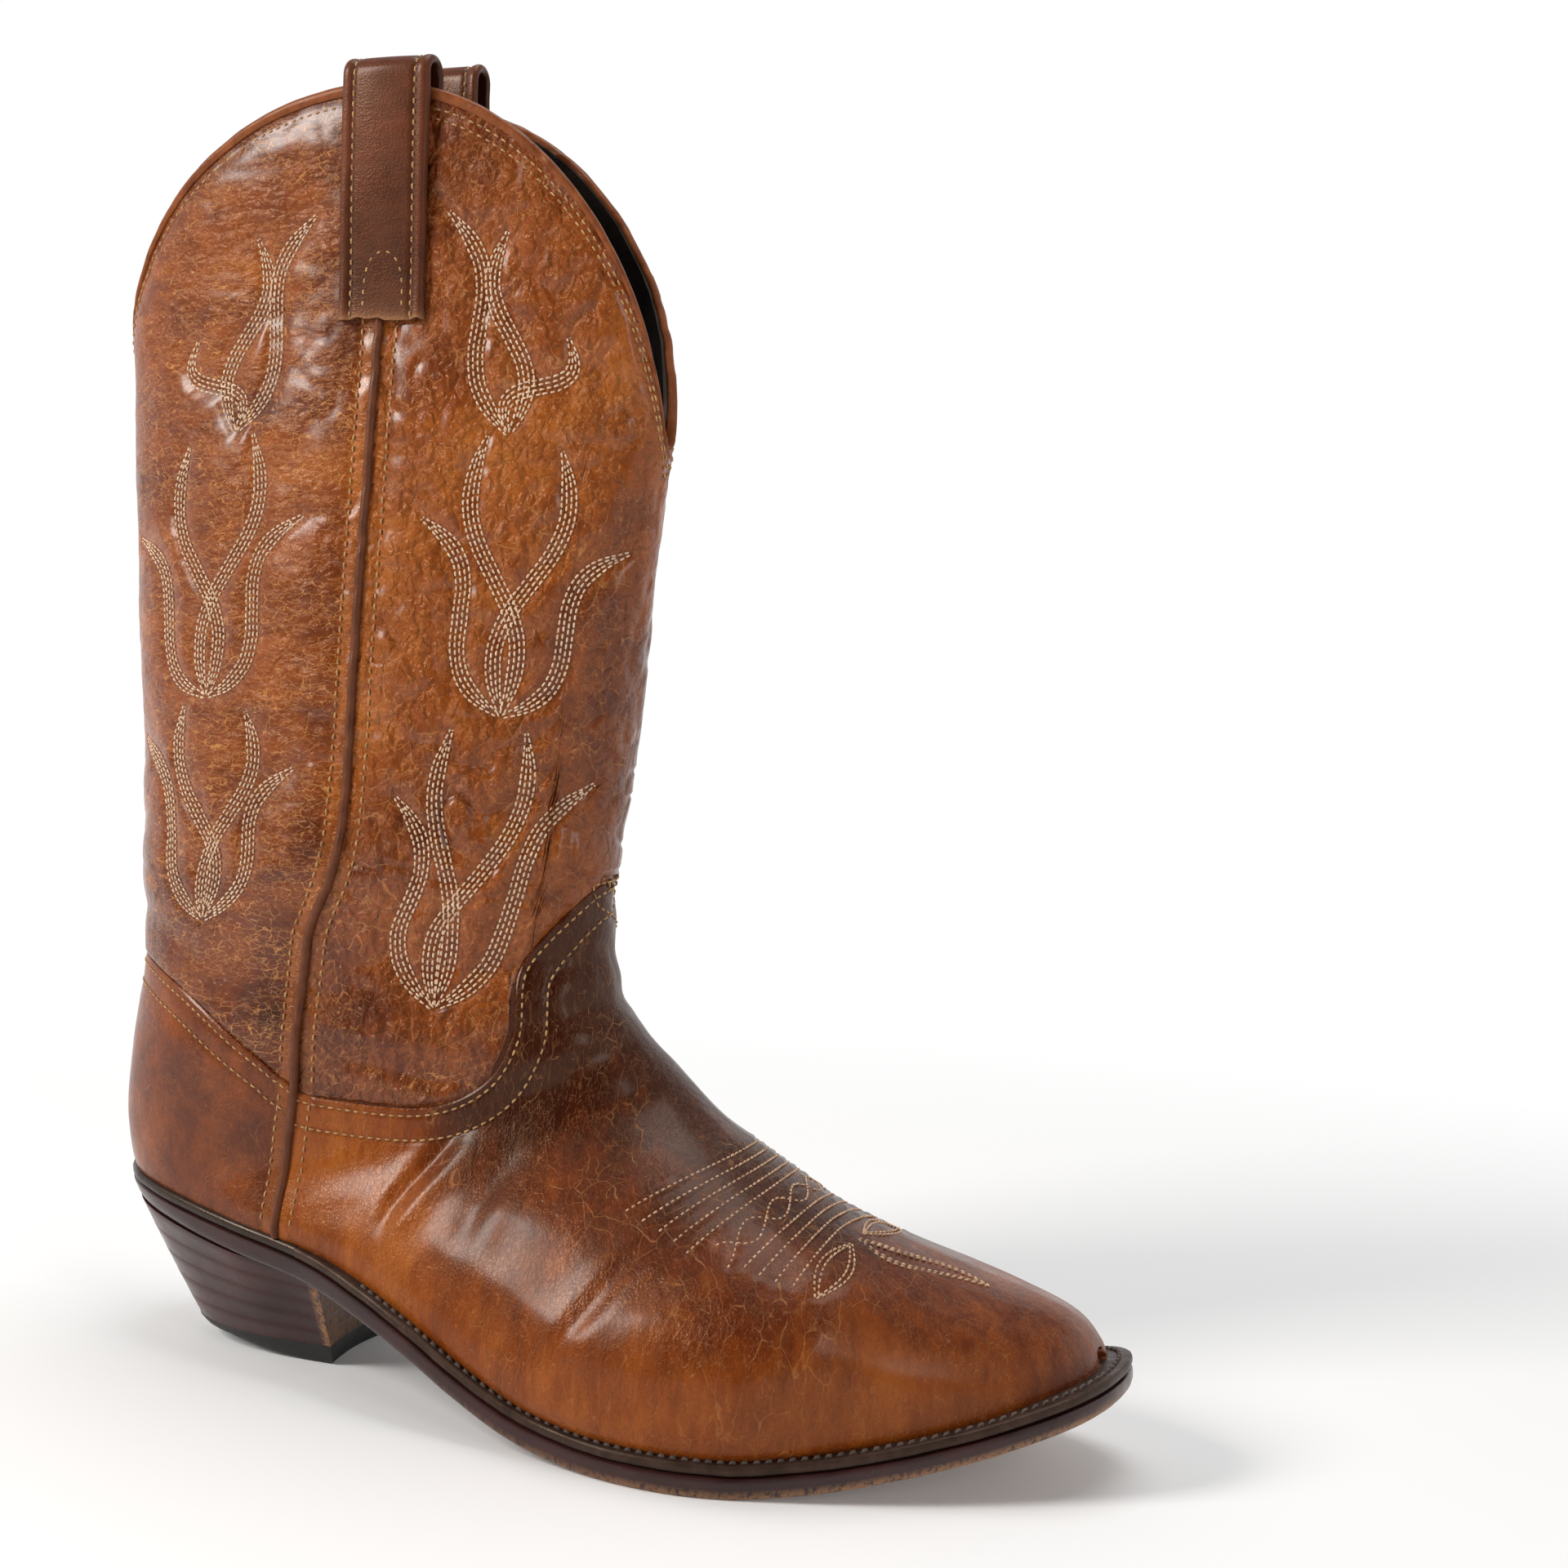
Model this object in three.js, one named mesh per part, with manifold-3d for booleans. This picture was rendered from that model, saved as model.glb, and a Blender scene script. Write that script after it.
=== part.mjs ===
// Western riding boot for the right foot: a stitched leather upper over a welted leather sole
// with a stacked, undershot heel. Millimetres, +X to the toe, +Y to the inner side, +Z up.
// Every piece follows one lofted body surface, so each layer of leather is an offset of it.
import * as THREE from 'three';
import { mergeVertices } from 'three/addons/utils/BufferGeometryUtils.js';
import Module from 'manifold-3d';

const wasm = await Module();
wasm.setup();

// ---- driving dimensions --------------------------------------------------------------------

// Sections of the body from the top of the shaft to the toe. Each is a closed superellipse
// between a back (or sole) point and a front (or instep) point.
// [back x, back z, front x, front z, outer half width, inner half width,
//  back squareness, front squareness, widest level, sideways shift]
const SECTIONS = [
  [-18.5, 380, 167, 380, 17, 17, 2.0, 2.0, 0.5, -10],
  [-19, 310, 164, 310, 21, 21, 2.0, 2.0, 0.5, -5],
  [-15, 240, 157.5, 240, 29, 29, 2.0, 2.0, 0.5, -3],
  [-11, 185, 152, 188, 35, 35, 2.1, 2.0, 0.5, 0],
  [-6.5, 147.5, 148, 152, 37.5, 37, 2.2, 2.0, 0.48, -1],
  [-4, 116, 147.5, 128, 37, 37, 2.4, 2.0, 0.45, 0],
  [-5, 87.5, 152, 113.5, 37, 37, 2.6, 2.1, 0.42, -1.5],
  [-5.5, 64, 162, 102, 37.5, 37, 2.8, 2.1, 0.4, 0],
  [2, 45.5, 172, 92, 39, 36.5, 3.0, 2.1, 0.38, 2],
  [30, 39, 183, 83.5, 42, 36, 3.4, 2.1, 0.36, 0.5],
  [69, 36, 194.5, 77.5, 46.5, 36, 3.8, 2.1, 0.34, -0.5],
  [108, 22.5, 207.5, 71.5, 52, 38, 4.0, 2.1, 0.32, -3],
  [150, 8, 221.5, 65, 57, 42, 4.0, 2.1, 0.32, -7],
  [193, 2, 238, 58, 57.5, 44, 4.0, 2.2, 0.32, -5],
  [233, 3, 255, 51.5, 48.5, 38.5, 3.6, 2.2, 0.34, 2],
  [263, 6.5, 270, 47, 36, 30, 3.2, 2.2, 0.36, 4.5],
  [283, 10.5, 283, 42.5, 23.5, 21, 3.0, 2.2, 0.38, 6],
  [294, 14.5, 289.5, 37, 13.5, 12.5, 2.6, 2.2, 0.4, 8],
  [299, 18, 292, 31.5, 3, 3, 2.2, 2.2, 0.45, 9],
];
const TIP = SECTIONS.length - 1;

// Top line of the shaft: high at the sides, a deep dip in front and a shallow one behind.
const TOP_PEAK = 376.5;
const FRONT_DIP = 254;
const BACK_DIP = 292;
const DIP_ROUNDING = 0.16;

// Side-view lines, as [x, z]: the side seam, the top edge of the heel counter, and the top
// edge of the vamp with its tongue.
const SIDE_SEAM = [[78, 400], [78, 200], [78, 160], [75.5, 147], [69, 131], [67, 105], [66.5, 84],
  [64.5, 64], [64.5, 20]];
const COUNTER_LINE = [[-40, 118], [-2, 117], [27, 108], [47, 97], [67, 85], [90, 80]];
const VAMP_LINE = [[50, 86], [77, 83.5], [106, 84], [123, 92], [130, 106], [129.5, 124],
  [139, 139], [150, 150], [180, 175], [340, 240]];

// Seat line, where the upper meets the welt: level [x, z] points ahead of the heel breast.
const HEEL_SEAT_Z = 52;
const HEEL_PITCH = 0.145;
const BREAST_X = 72;
const BALL_START = 180;
const BALL_END = 212;
const SOLE_STACK = 9.6;
const SEAT_LINE = [[60, 43.3], [75, 41.1], [92, 37.3], [111, 30.5], [130, 21.5], [150, 13.6],
  [165, 10.6], [BALL_START, SOLE_STACK], [BALL_END, SOLE_STACK], [235, 12.6], [255, 17.2],
  [270, 21.5], [285, 27], [300, 33], [320, 41]];

// Leather layers, as offsets from the body surface (outer face, inner face).
const SHAFT_LEATHER = [0, -1.8];
const SHAFT_LINING = [-2.1, -3.3];
const FOOT_LEATHER = [0.8, -1.2];
const STIFFENER = [-1.5, -2.7];
const FOOT_LINING = [-3.3, -4.3];
const BINDING = [0.6, -3.7];
const BINDING_ABOVE = 1.0;
const BINDING_BELOW = 1.5;
const BINDING_GAP = 1.5;

const GAP = 0.3;
const SEAM_HALF_GAP = 2.2;
const STIFFENER_SEAM_GAP = 4;
const PIPING_RADIUS = 1.1;
const PIPING_OFFSET = -0.2;
const PIPING_FOOT_RISE = 0.6;
const PIPING_TOP = TOP_PEAK - 3;
const PIPING_FOOT_GAP = 1.2;

// Grid sizes, and where the layers start and end, in sections. A toe is the pair of last
// sections of the outer and inner face.
const SHAFT_ROWS = 11;
const SHAFT_COLUMNS = 16;
const FOOT_COLUMNS = 20;
const FOOT_START = 3.6;
const FOOT_STEP = 0.6;
const FRONT_SHAFT_END = 8;
const BACK_SHAFT_END = 7.4;
const LEATHER_SPAN = { to: 17.4, toe: [TIP, 17.85] };
const LINING_SPAN = { to: 16.2, toe: [16.9, 16.7] };
const INSIDE_SPAN = { to: 16.2, toe: [16.9, 16.6] };
const TOE_BOX_SPAN = { from: 14.4, to: 16.8, toe: [17.4, 17.2] };
const COUNTER_SPAN = { to: 10.2 };

const STRAP_X = 79;
const STRAP_WIDTH = 28;
const STRAP_THICKNESS = 2.4;
const STRAP_TOPS = { outer: 385.5, inner: 390 };
const STRAP_END_OUTSIDE = 309;
const STRAP_END_INSIDE = 318;
const STRAP_STAND = 1.4;
// Above this height the strap keeps the shape of the shaft's section here.
const STRAP_SHAPE_TOP = 379.5;

const WELT_THICKNESS = 3.3;
const OUTSOLE_THICKNESS = SOLE_STACK - WELT_THICKNESS - 2 * GAP;
const LEDGE_HEEL = 2;
const LEDGE_SIDE = 4.2;
const LEDGE_TOE = 7;
const WELT_INSET = 9;
const FILLER_START = 153;
const INSOLE_THICKNESS = 2.8;
const INSOLE_INSET = 4;
const HEEL_PAD_THICKNESS = 1.4;
const SHANK = { start: 42, end: 142, halfWidth: 5.5, thickness: 1.4 };

const HEEL_LIFTS = 5;
const HEEL_HEIGHT = 42;
const CAP_THICKNESS = 6;
const HEEL_BOTTOM = { back: 20.5, breast: 72, halfWidth: 20.5, breastHalfWidth: 19 };
const HEEL_TOP_BREAST = 75.5;
const HEEL_TOP_INSET = { back: 3.4, side: 1, breast: 7 };
const BREAST_HOLLOW = 2;
const NAIL_RADIUS = 1.3;
const NAIL_LENGTH = 15;
const NAIL_BASE = 0.4;
const NAIL_PLACES = [[62, -11], [62, 12], [44, -13], [44, 14], [26, 0.5]];
const PEG_RADIUS = 1.3;
const PEG_LENGTH = OUTSOLE_THICKNESS - 2;
const PEGS_PER_SIDE = 4;
const PEG_START = 84;
const PEG_SPAN = 44;
// Where each row of pegs starts across the sole, and its slope.
const PEG_ROWS = { outer: [-36, -0.16], inner: [27, 0.04] };
// How much longer than its pin a bore is cut, so that it runs right through.
const BORE_EXTRA = 8;

// ---- materials -----------------------------------------------------------------------------

const finish = (color, roughness, metalness = 0) => ({ color, roughness, metalness });
const COGNAC = finish(0x8a4a26, 0.38);
const CHOCOLATE = finish(0x4c2b1d, 0.45);
const CORD = finish(0x6b4230, 0.5);
const LINING = finish(0xb08a62, 0.75);
const BLACK_LINING = finish(0x1c1917, 0.8);
const BOARD = finish(0xa98763, 0.85);
const WELT = finish(0x2a1c16, 0.5);
const SOLE = finish(0x3c2220, 0.4);
const RUBBER = finish(0x141312, 0.6);
const STEEL = finish(0xb9bcc0, 0.35, 1);
const CORK = finish(0x8c6a45, 0.9);
const WOOD = finish(0xc9a873, 0.7);

// ---- the body surface ----------------------------------------------------------------------

function catmull(rows, t) {
  const last = rows.length - 1;
  const i = Math.min(Math.max(Math.floor(t), 0), last - 1);
  const f = t - i;
  const b = rows[i];
  const c = rows[i + 1];
  return b.map((value, k) => {
    const before = i > 0 ? rows[i - 1][k] : 2 * value - c[k];
    const after = i < last - 1 ? rows[i + 2][k] : 2 * c[k] - value;
    const slope = c[k] - before;
    const bend = 2 * before - 5 * value + 4 * c[k] - after;
    const twist = 3 * value - before - 3 * c[k] + after;
    return value + 0.5 * f * (slope + f * (bend + f * twist));
  });
}

// Point at section t (0 top, TIP toe) and turn angle: 0 is the back or sole, a quarter turn
// the outer side, half a turn the front or instep.
function bodyPoint(t, turn) {
  const [bx, bz, fx, fz, outer, inner, backN, frontN, widest, shift] = catmull(SECTIONS, t);
  const c = Math.cos(turn);
  const s = Math.sin(turn);
  const power = 2 / (c > 0 ? backN : frontN);
  const reach = Math.abs(c) ** power;
  const along = c > 0 ? widest * (1 - reach) : widest + (1 - widest) * reach;
  const side = (s > 0 ? -outer : inner) * Math.abs(s) ** power;
  return new THREE.Vector3(bx + along * (fx - bx), side + shift, bz + along * (fz - bz));
}

function layerPoint(t, turn, offset) {
  const step = 0.02;
  const point = bodyPoint(t, turn);
  const lengthwise = bodyPoint(Math.min(t + step, TIP), turn).sub(bodyPoint(Math.max(t - step, 0), turn));
  const around = bodyPoint(t, turn + step).sub(bodyPoint(t, turn - step));
  const normal = around.cross(lengthwise).normalize();
  const centre = bodyPoint(t, 0).add(bodyPoint(t, Math.PI)).multiplyScalar(0.5);
  if (normal.dot(point.clone().sub(centre)) < 0) normal.negate();
  return point.addScaledVector(normal, offset);
}

function bisect(low, high, below) {
  let [a, b] = [low, high];
  for (let i = 0; i < 40; i++) {
    const middle = (a + b) / 2;
    if (below(middle)) a = middle;
    else b = middle;
  }
  return (a + b) / 2;
}

// A line through [x, z] points as a smooth function z(x), or x(z) with the pair turned round.
function curveThrough(points) {
  return (value) => {
    let i = 0;
    while (i < points.length - 2 && points[i + 1][0] < value) i++;
    const t = i + (value - points[i][0]) / (points[i + 1][0] - points[i][0]);
    return catmull(points, t)[1];
  };
}

const frontSeat = curveThrough(SEAT_LINE);
const seamX = curveThrough(SIDE_SEAM.map(([x, z]) => [z, x]).reverse());

function seatZ(x) {
  if (x < BREAST_X) return HEEL_SEAT_Z - HEEL_PITCH * x;
  if (x > BALL_START && x < BALL_END) return SOLE_STACK;
  return Math.max(frontSeat(x), SOLE_STACK);
}

function topZ(turn) {
  const dip = Math.cos(turn) > 0 ? BACK_DIP : FRONT_DIP;
  const rise = Math.hypot(Math.sin(turn), DIP_ROUNDING) / Math.hypot(1, DIP_ROUNDING);
  return dip + (TOP_PEAK - dip) * rise;
}

const sectionAtHeight = (z, turn) => bisect(0, 5, (t) => bodyPoint(t, turn).z > z);

// Turn angle of the outer side seam at section t, moved ahead by some millimetres.
function seamTurn(t, ahead) {
  return bisect(0, Math.PI, (turn) => {
    const p = bodyPoint(t, turn);
    return p.x < seamX(p.z) + ahead;
  });
}

// ---- building closed solids ----------------------------------------------------------------

function solidFrom(points, triangles) {
  const geometry = new THREE.BufferGeometry();
  const numbers = points.flatMap((p) => [p.x, p.y, p.z]);
  geometry.setAttribute('position', new THREE.Float32BufferAttribute(numbers, 3));
  geometry.setIndex(triangles.flat());
  return pointOutward(geometry);
}

function pointOutward(geometry) {
  const position = geometry.getAttribute('position');
  const index = geometry.getIndex().array;
  const [a, b, c] = [new THREE.Vector3(), new THREE.Vector3(), new THREE.Vector3()];
  let volume = 0;
  for (let i = 0; i < index.length; i += 3) {
    a.fromBufferAttribute(position, index[i]);
    b.fromBufferAttribute(position, index[i + 1]);
    c.fromBufferAttribute(position, index[i + 2]);
    volume += a.dot(b.cross(c));
  }
  if (volume < 0) {
    for (let i = 0; i < index.length; i += 3) [index[i], index[i + 1]] = [index[i + 1], index[i]];
  }
  return geometry;
}

// Solid between two grids of points of the same size. A closed grid joins its last column to
// its first; a grid with a tip is closed by a fan at its last row.
function slab(outer, inner, { closed = false, tip = false } = {}) {
  const rows = outer.length;
  const columns = outer[0].length;
  const points = [...outer.flat(), ...inner.flat()];
  const triangles = [];
  const at = (side, i, j) => side * rows * columns + i * columns + (j % columns);
  const quad = (a, b, c, d) => triangles.push([a, b, c], [a, c, d]);
  const lastColumn = closed ? columns : columns - 1;
  for (let i = 0; i < rows - 1; i++) {
    for (let j = 0; j < lastColumn; j++) {
      quad(at(0, i, j), at(0, i, j + 1), at(0, i + 1, j + 1), at(0, i + 1, j));
      quad(at(1, i, j), at(1, i + 1, j), at(1, i + 1, j + 1), at(1, i, j + 1));
    }
    if (!closed) {
      quad(at(0, i, 0), at(0, i + 1, 0), at(1, i + 1, 0), at(1, i, 0));
      quad(at(0, i, columns - 1), at(1, i, columns - 1), at(1, i + 1, columns - 1), at(0, i + 1, columns - 1));
    }
  }
  for (let j = 0; j < lastColumn; j++) {
    quad(at(0, 0, j), at(1, 0, j), at(1, 0, j + 1), at(0, 0, j + 1));
    if (!tip) quad(at(0, rows - 1, j), at(0, rows - 1, j + 1), at(1, rows - 1, j + 1), at(1, rows - 1, j));
  }
  if (tip) {
    for (const [side, grid] of [[0, outer], [1, inner]]) {
      const ring = grid[rows - 1];
      const middle = ring.reduce((sum, p) => sum.add(p), new THREE.Vector3()).divideScalar(ring.length);
      points.push(middle);
      for (let j = 0; j < columns; j++) {
        const edge = [at(side, rows - 1, j), at(side, rows - 1, j + 1)];
        if (side === 1) edge.reverse();
        triangles.push([...edge, points.length - 1]);
      }
    }
  }
  return solidFrom(points, triangles);
}

function toManifold(geometry) {
  const bare = geometry.clone();
  bare.deleteAttribute('normal');
  bare.deleteAttribute('uv');
  const merged = mergeVertices(bare, 1e-4);
  return new wasm.Manifold(new wasm.Mesh({
    numProp: 3,
    vertProperties: new Float32Array(merged.getAttribute('position').array),
    triVerts: new Uint32Array(merged.getIndex().array),
  }));
}

function toGeometry(solid) {
  const mesh = solid.getMesh();
  const geometry = new THREE.BufferGeometry();
  geometry.setAttribute('position', new THREE.BufferAttribute(new Float32Array(mesh.vertProperties), 3));
  geometry.setIndex(new THREE.BufferAttribute(new Uint32Array(mesh.triVerts), 1));
  return geometry;
}

const REACH = 200;

// Prism across the boot from a side-view outline of [x, z] points.
function sidePrism(outline, low = -REACH, high = REACH) {
  const shape = new THREE.Shape(outline.map(([x, z]) => new THREE.Vector2(x, z)));
  const geometry = new THREE.ExtrudeGeometry(shape, { depth: high - low, bevelEnabled: false });
  geometry.rotateX(Math.PI / 2);
  geometry.translate(0, high, 0);
  return toManifold(geometry);
}

// Upright prism from a plan outline of [x, y] points.
function planPrism(outline, low = -20, high = 90) {
  const shape = new THREE.Shape(outline.map(([x, y]) => new THREE.Vector2(x, y)));
  const geometry = new THREE.ExtrudeGeometry(shape, { depth: high - low, bevelEnabled: false });
  geometry.translate(0, 0, low);
  return toManifold(geometry);
}

function sampled(line, count) {
  return Array.from({ length: count + 1 }, (_, i) => catmull(line, (i / count) * (line.length - 1)));
}

const shiftedLine = (line, dx, dz) => line.map(([x, z]) => [x + dx, z + dz]);

function aheadOfSeam(gap) {
  const line = sampled(shiftedLine(SIDE_SEAM, gap, 0), 16);
  return sidePrism([...line, [REACH * 2, -50], [REACH * 2, 450]]);
}

function behindSeam(gap) {
  const line = sampled(shiftedLine(SIDE_SEAM, -gap, 0), 16);
  return sidePrism([...line, [-REACH, -50], [-REACH, 450]]);
}

const above = (line) => sidePrism([...line, [line.at(-1)[0], 450], [line[0][0], 450]]);
const below = (line) => sidePrism([...line, [line.at(-1)[0], -50], [line[0][0], -50]]);

function seatPoints(rise, start = -60, end = 318) {
  const places = [start, end, BREAST_X, BALL_START, BALL_END];
  for (let x = -51; x < 318; x += 12) places.push(x);
  return places.filter((x) => x >= start && x <= end).sort((a, b) => a - b).map((x) => [x, seatZ(x) + rise]);
}

const seatBand = (low, high, start, end) => sidePrism([
  ...seatPoints(low, start, end),
  ...seatPoints(high, start, end).reverse(),
]);

// ---- upper ---------------------------------------------------------------------------------

// Turn angle of column j of a shaft piece that lies ahead of the side seams or behind them.
function columnTurn(t, isFront, gap, j) {
  const outerTurn = seamTurn(t, isFront ? gap : -gap);
  const [from, to] = isFront ? [outerTurn, 2 * Math.PI - outerTurn] : [-outerTurn, outerTurn];
  return from + ((to - from) * j) / SHAFT_COLUMNS;
}

// Shaft panel between the two side seams: ahead of them for the front, behind for the back.
function shaftPanel([outerFace, innerFace], isFront, bottomSection) {
  const grid = (offset) => Array.from({ length: SHAFT_ROWS + 1 }, (_, i) => {
    return Array.from({ length: SHAFT_COLUMNS + 1 }, (_, j) => {
      const topTurn = columnTurn(0.5, isFront, SEAM_HALF_GAP, j);
      const top = sectionAtHeight(topZ(topTurn) - BINDING_BELOW - BINDING_GAP, topTurn);
      const t = top + ((bottomSection - top) * i) / SHAFT_ROWS;
      return layerPoint(t, i === 0 ? topTurn : columnTurn(t, isFront, SEAM_HALF_GAP, j), offset);
    });
  });
  return toManifold(slab(grid(outerFace), grid(innerFace)));
}

// Narrow band that caps the top edges of panel and lining.
function topBinding(isFront) {
  const levels = [BINDING_ABOVE, -BINDING_BELOW];
  const grid = (offset) => levels.map((level) => Array.from({ length: SHAFT_COLUMNS + 1 }, (_, j) => {
    const isEnd = j === 0 || j === SHAFT_COLUMNS;
    const turn = columnTurn(0.5, isFront, isEnd ? GAP : SEAM_HALF_GAP, j);
    const t = sectionAtHeight(topZ(turn) + level, turn);
    return layerPoint(t, turn, offset);
  }));
  return slab(grid(BINDING[0]), grid(BINDING[1]));
}

// Shell round the foot from one section to another, on sections that all foot layers share.
// With a toe it runs on to a last section of its own on each face and is closed there.
function footShell([outerFace, innerFace], { from = FOOT_START, to, step = FOOT_STEP, toe }) {
  const grid = (offset, end) => {
    const rows = [];
    for (let t = from; t < to + step / 2; t += step) rows.push(t);
    if (toe) rows.push(end);
    return rows.map((t) => (
      Array.from({ length: FOOT_COLUMNS }, (_, j) => layerPoint(t, (2 * Math.PI * j) / FOOT_COLUMNS, offset))
    ));
  };
  const [outerEnd, innerEnd] = toe ?? [];
  const shape = { closed: true, tip: Boolean(toe) };
  return toManifold(slab(grid(outerFace, outerEnd), grid(innerFace, innerEnd), shape));
}

function sidePiping(side) {
  const steps = 26;
  const low = seatZ(SIDE_SEAM.at(-1)[0]) + PIPING_FOOT_GAP;
  const points = [];
  for (let i = 0; i <= steps; i++) {
    const z = PIPING_TOP + ((low - PIPING_TOP) * i) / steps;
    const t = bisect(0, 9.6, (value) => bodyPoint(value, seamTurn(value, 0)).z > z);
    const turn = seamTurn(t, 0);
    const onFoot = THREE.MathUtils.smoothstep(120 - z, 0, 30);
    points.push(layerPoint(t, side * turn, PIPING_OFFSET + PIPING_FOOT_RISE * onFoot));
  }
  const sides = 6;
  const section = new THREE.Shape(Array.from({ length: sides }, (_, i) => {
    const a = (2 * Math.PI * i) / sides;
    return new THREE.Vector2(-PIPING_RADIUS * Math.sin(a), PIPING_RADIUS * Math.cos(a));
  }));
  return new THREE.ExtrudeGeometry(section, {
    extrudePath: new THREE.CatmullRomCurve3(points), steps: 28, bevelEnabled: false,
  });
}

// Pull strap: down the outside, over the top edge and down the inside.
function pullStrap(side, top) {
  const across = 4;
  const bendSteps = 6;
  const shaftSide = (x, z, offset) => {
    const t = sectionAtHeight(Math.min(z, STRAP_SHAPE_TOP), Math.PI / 2);
    const [bx, , fx, , outer, inner, , , , shift] = catmull(SECTIONS, t);
    const along = (2 * (x - bx)) / (fx - bx) - 1;
    const width = (side > 0 ? outer : inner) * Math.sqrt(1 - along * along);
    return new THREE.Vector3(x, -side * (width + offset) + shift, z);
  };
  const outerMiddle = STRAP_STAND + STRAP_THICKNESS / 2;
  const innerMiddle = BINDING[1] - 2 * GAP - STRAP_THICKNESS / 2;
  const loopCentre = (outerMiddle + innerMiddle) / 2;
  const loopRadius = (outerMiddle - innerMiddle) / 2;
  const loopBase = top - STRAP_THICKNESS / 2 - loopRadius;
  const path = [];
  const run = (from, to, i) => from + ((to - from) * i) / bendSteps;
  for (let i = 0; i < bendSteps; i++) path.push([outerMiddle, run(STRAP_END_OUTSIDE, loopBase, i), 0]);
  for (let i = 0; i <= bendSteps; i++) {
    const a = (Math.PI * i) / bendSteps;
    path.push([loopCentre + loopRadius * Math.cos(a), loopBase + loopRadius * Math.sin(a), a]);
  }
  for (let i = 1; i <= bendSteps; i++) path.push([innerMiddle, run(loopBase, STRAP_END_INSIDE, i), Math.PI]);
  const grid = (half) => path.map(([offset, z, lean]) => Array.from({ length: across + 1 }, (_, j) => {
    const x = STRAP_X + STRAP_WIDTH * (j / across - 0.5);
    return shaftSide(x, z + half * Math.sin(lean), offset + half * Math.cos(lean));
  }));
  return slab(grid(STRAP_THICKNESS / 2), grid(-STRAP_THICKNESS / 2));
}

// ---- sole ----------------------------------------------------------------------------------

// Plan outline where a layer of the upper meets the seat line, from the outer side of the heel
// round the toe and back along the inner side.
function seatOutline(offset, endSection, count) {
  const onSeat = (p) => p.z < seatZ(p.x);
  const start = bisect(6.2, 8.6, (t) => !onSeat(layerPoint(t, 0, offset)));
  const outer = [];
  const inner = [];
  for (let i = 1; i <= count; i++) {
    const t = start + (endSection - start) * (i / count) ** 1.7;
    const cross = (side) => {
      const turn = bisect(0, Math.PI, (a) => onSeat(layerPoint(t, side * a, offset)));
      const p = layerPoint(t, side * turn, offset);
      return [p.x, p.y];
    };
    outer.push(cross(1));
    inner.push(cross(-1));
  }
  const back = layerPoint(start, 0, offset);
  return [[back.x, back.y], ...outer, ...inner.reverse()];
}

function ledge(x) {
  const side = THREE.MathUtils.lerp(LEDGE_HEEL, LEDGE_SIDE, THREE.MathUtils.smoothstep(x, 55, 100));
  return side + (LEDGE_TOE - LEDGE_SIDE) * THREE.MathUtils.smoothstep(x, 262, 292);
}

function grown(outline, distance) {
  return outline.map(([x, y], i) => {
    const before = outline[(i + outline.length - 1) % outline.length];
    const after = outline[(i + 1) % outline.length];
    const normal = new THREE.Vector2(after[1] - before[1], before[0] - after[0]).normalize();
    const grow = typeof distance === 'function' ? distance(x) : distance;
    return [x + normal.x * grow, y + normal.y * grow];
  });
}

const anticlockwise = (outline) => {
  const area = THREE.ShapeUtils.area(outline.map(([x, y]) => new THREE.Vector2(x, y)));
  return area > 0 ? outline : [...outline].reverse();
};

const featherEdge = anticlockwise(seatOutline(FOOT_LEATHER[0], TIP, 20));
const soleOutline = grown(featherEdge, ledge);
const shortFeather = anticlockwise(seatOutline(FOOT_LEATHER[0], 16.4, 16));
const weltInner = grown(shortFeather, -WELT_INSET);
const fillerOutline = grown(shortFeather, -WELT_INSET - GAP);
const insoleOutline = grown(shortFeather, -INSOLE_INSET);

function welt() {
  const ring = planPrism(soleOutline).subtract(planPrism(weltInner));
  return ring.intersect(seatBand(-GAP - WELT_THICKNESS, -GAP, BREAST_X + GAP / 2, 316));
}

function heelRand() {
  const ring = planPrism(soleOutline).subtract(planPrism(weltInner));
  return ring.intersect(seatBand(-GAP - WELT_THICKNESS, -GAP, -40, BREAST_X - GAP / 2));
}

function outsole() {
  const bottom = -SOLE_STACK;
  const top = bottom + OUTSOLE_THICKNESS;
  return planPrism(soleOutline).intersect(seatBand(bottom, top, -40, 316));
}

// The space inside the upper at some levels over the seat line.
function insideUpper(low, high, end) {
  const upper = footShell([FOOT_LEATHER[0], FOOT_LINING[1] - GAP], INSIDE_SPAN);
  return planPrism(insoleOutline).intersect(seatBand(low, high, -40, end)).subtract(upper);
}

const insole = () => insideUpper(GAP, GAP + INSOLE_THICKNESS, 300);

function heelPad() {
  const rise = 2 * GAP + INSOLE_THICKNESS;
  return insideUpper(rise, rise + HEEL_PAD_THICKNESS, 92);
}

function corkFiller() {
  return planPrism(fillerOutline).intersect(seatBand(-GAP - WELT_THICKNESS, -GAP, FILLER_START, 300));
}

function steelShank() {
  const { start, end, halfWidth, thickness } = SHANK;
  const strip = planPrism([[start, -halfWidth], [end, -halfWidth], [end, halfWidth], [start, halfWidth]]);
  return strip.intersect(seatBand(-2 * GAP - thickness, -2 * GAP, start - 5, end + 5));
}

// ---- heel ----------------------------------------------------------------------------------

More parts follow.
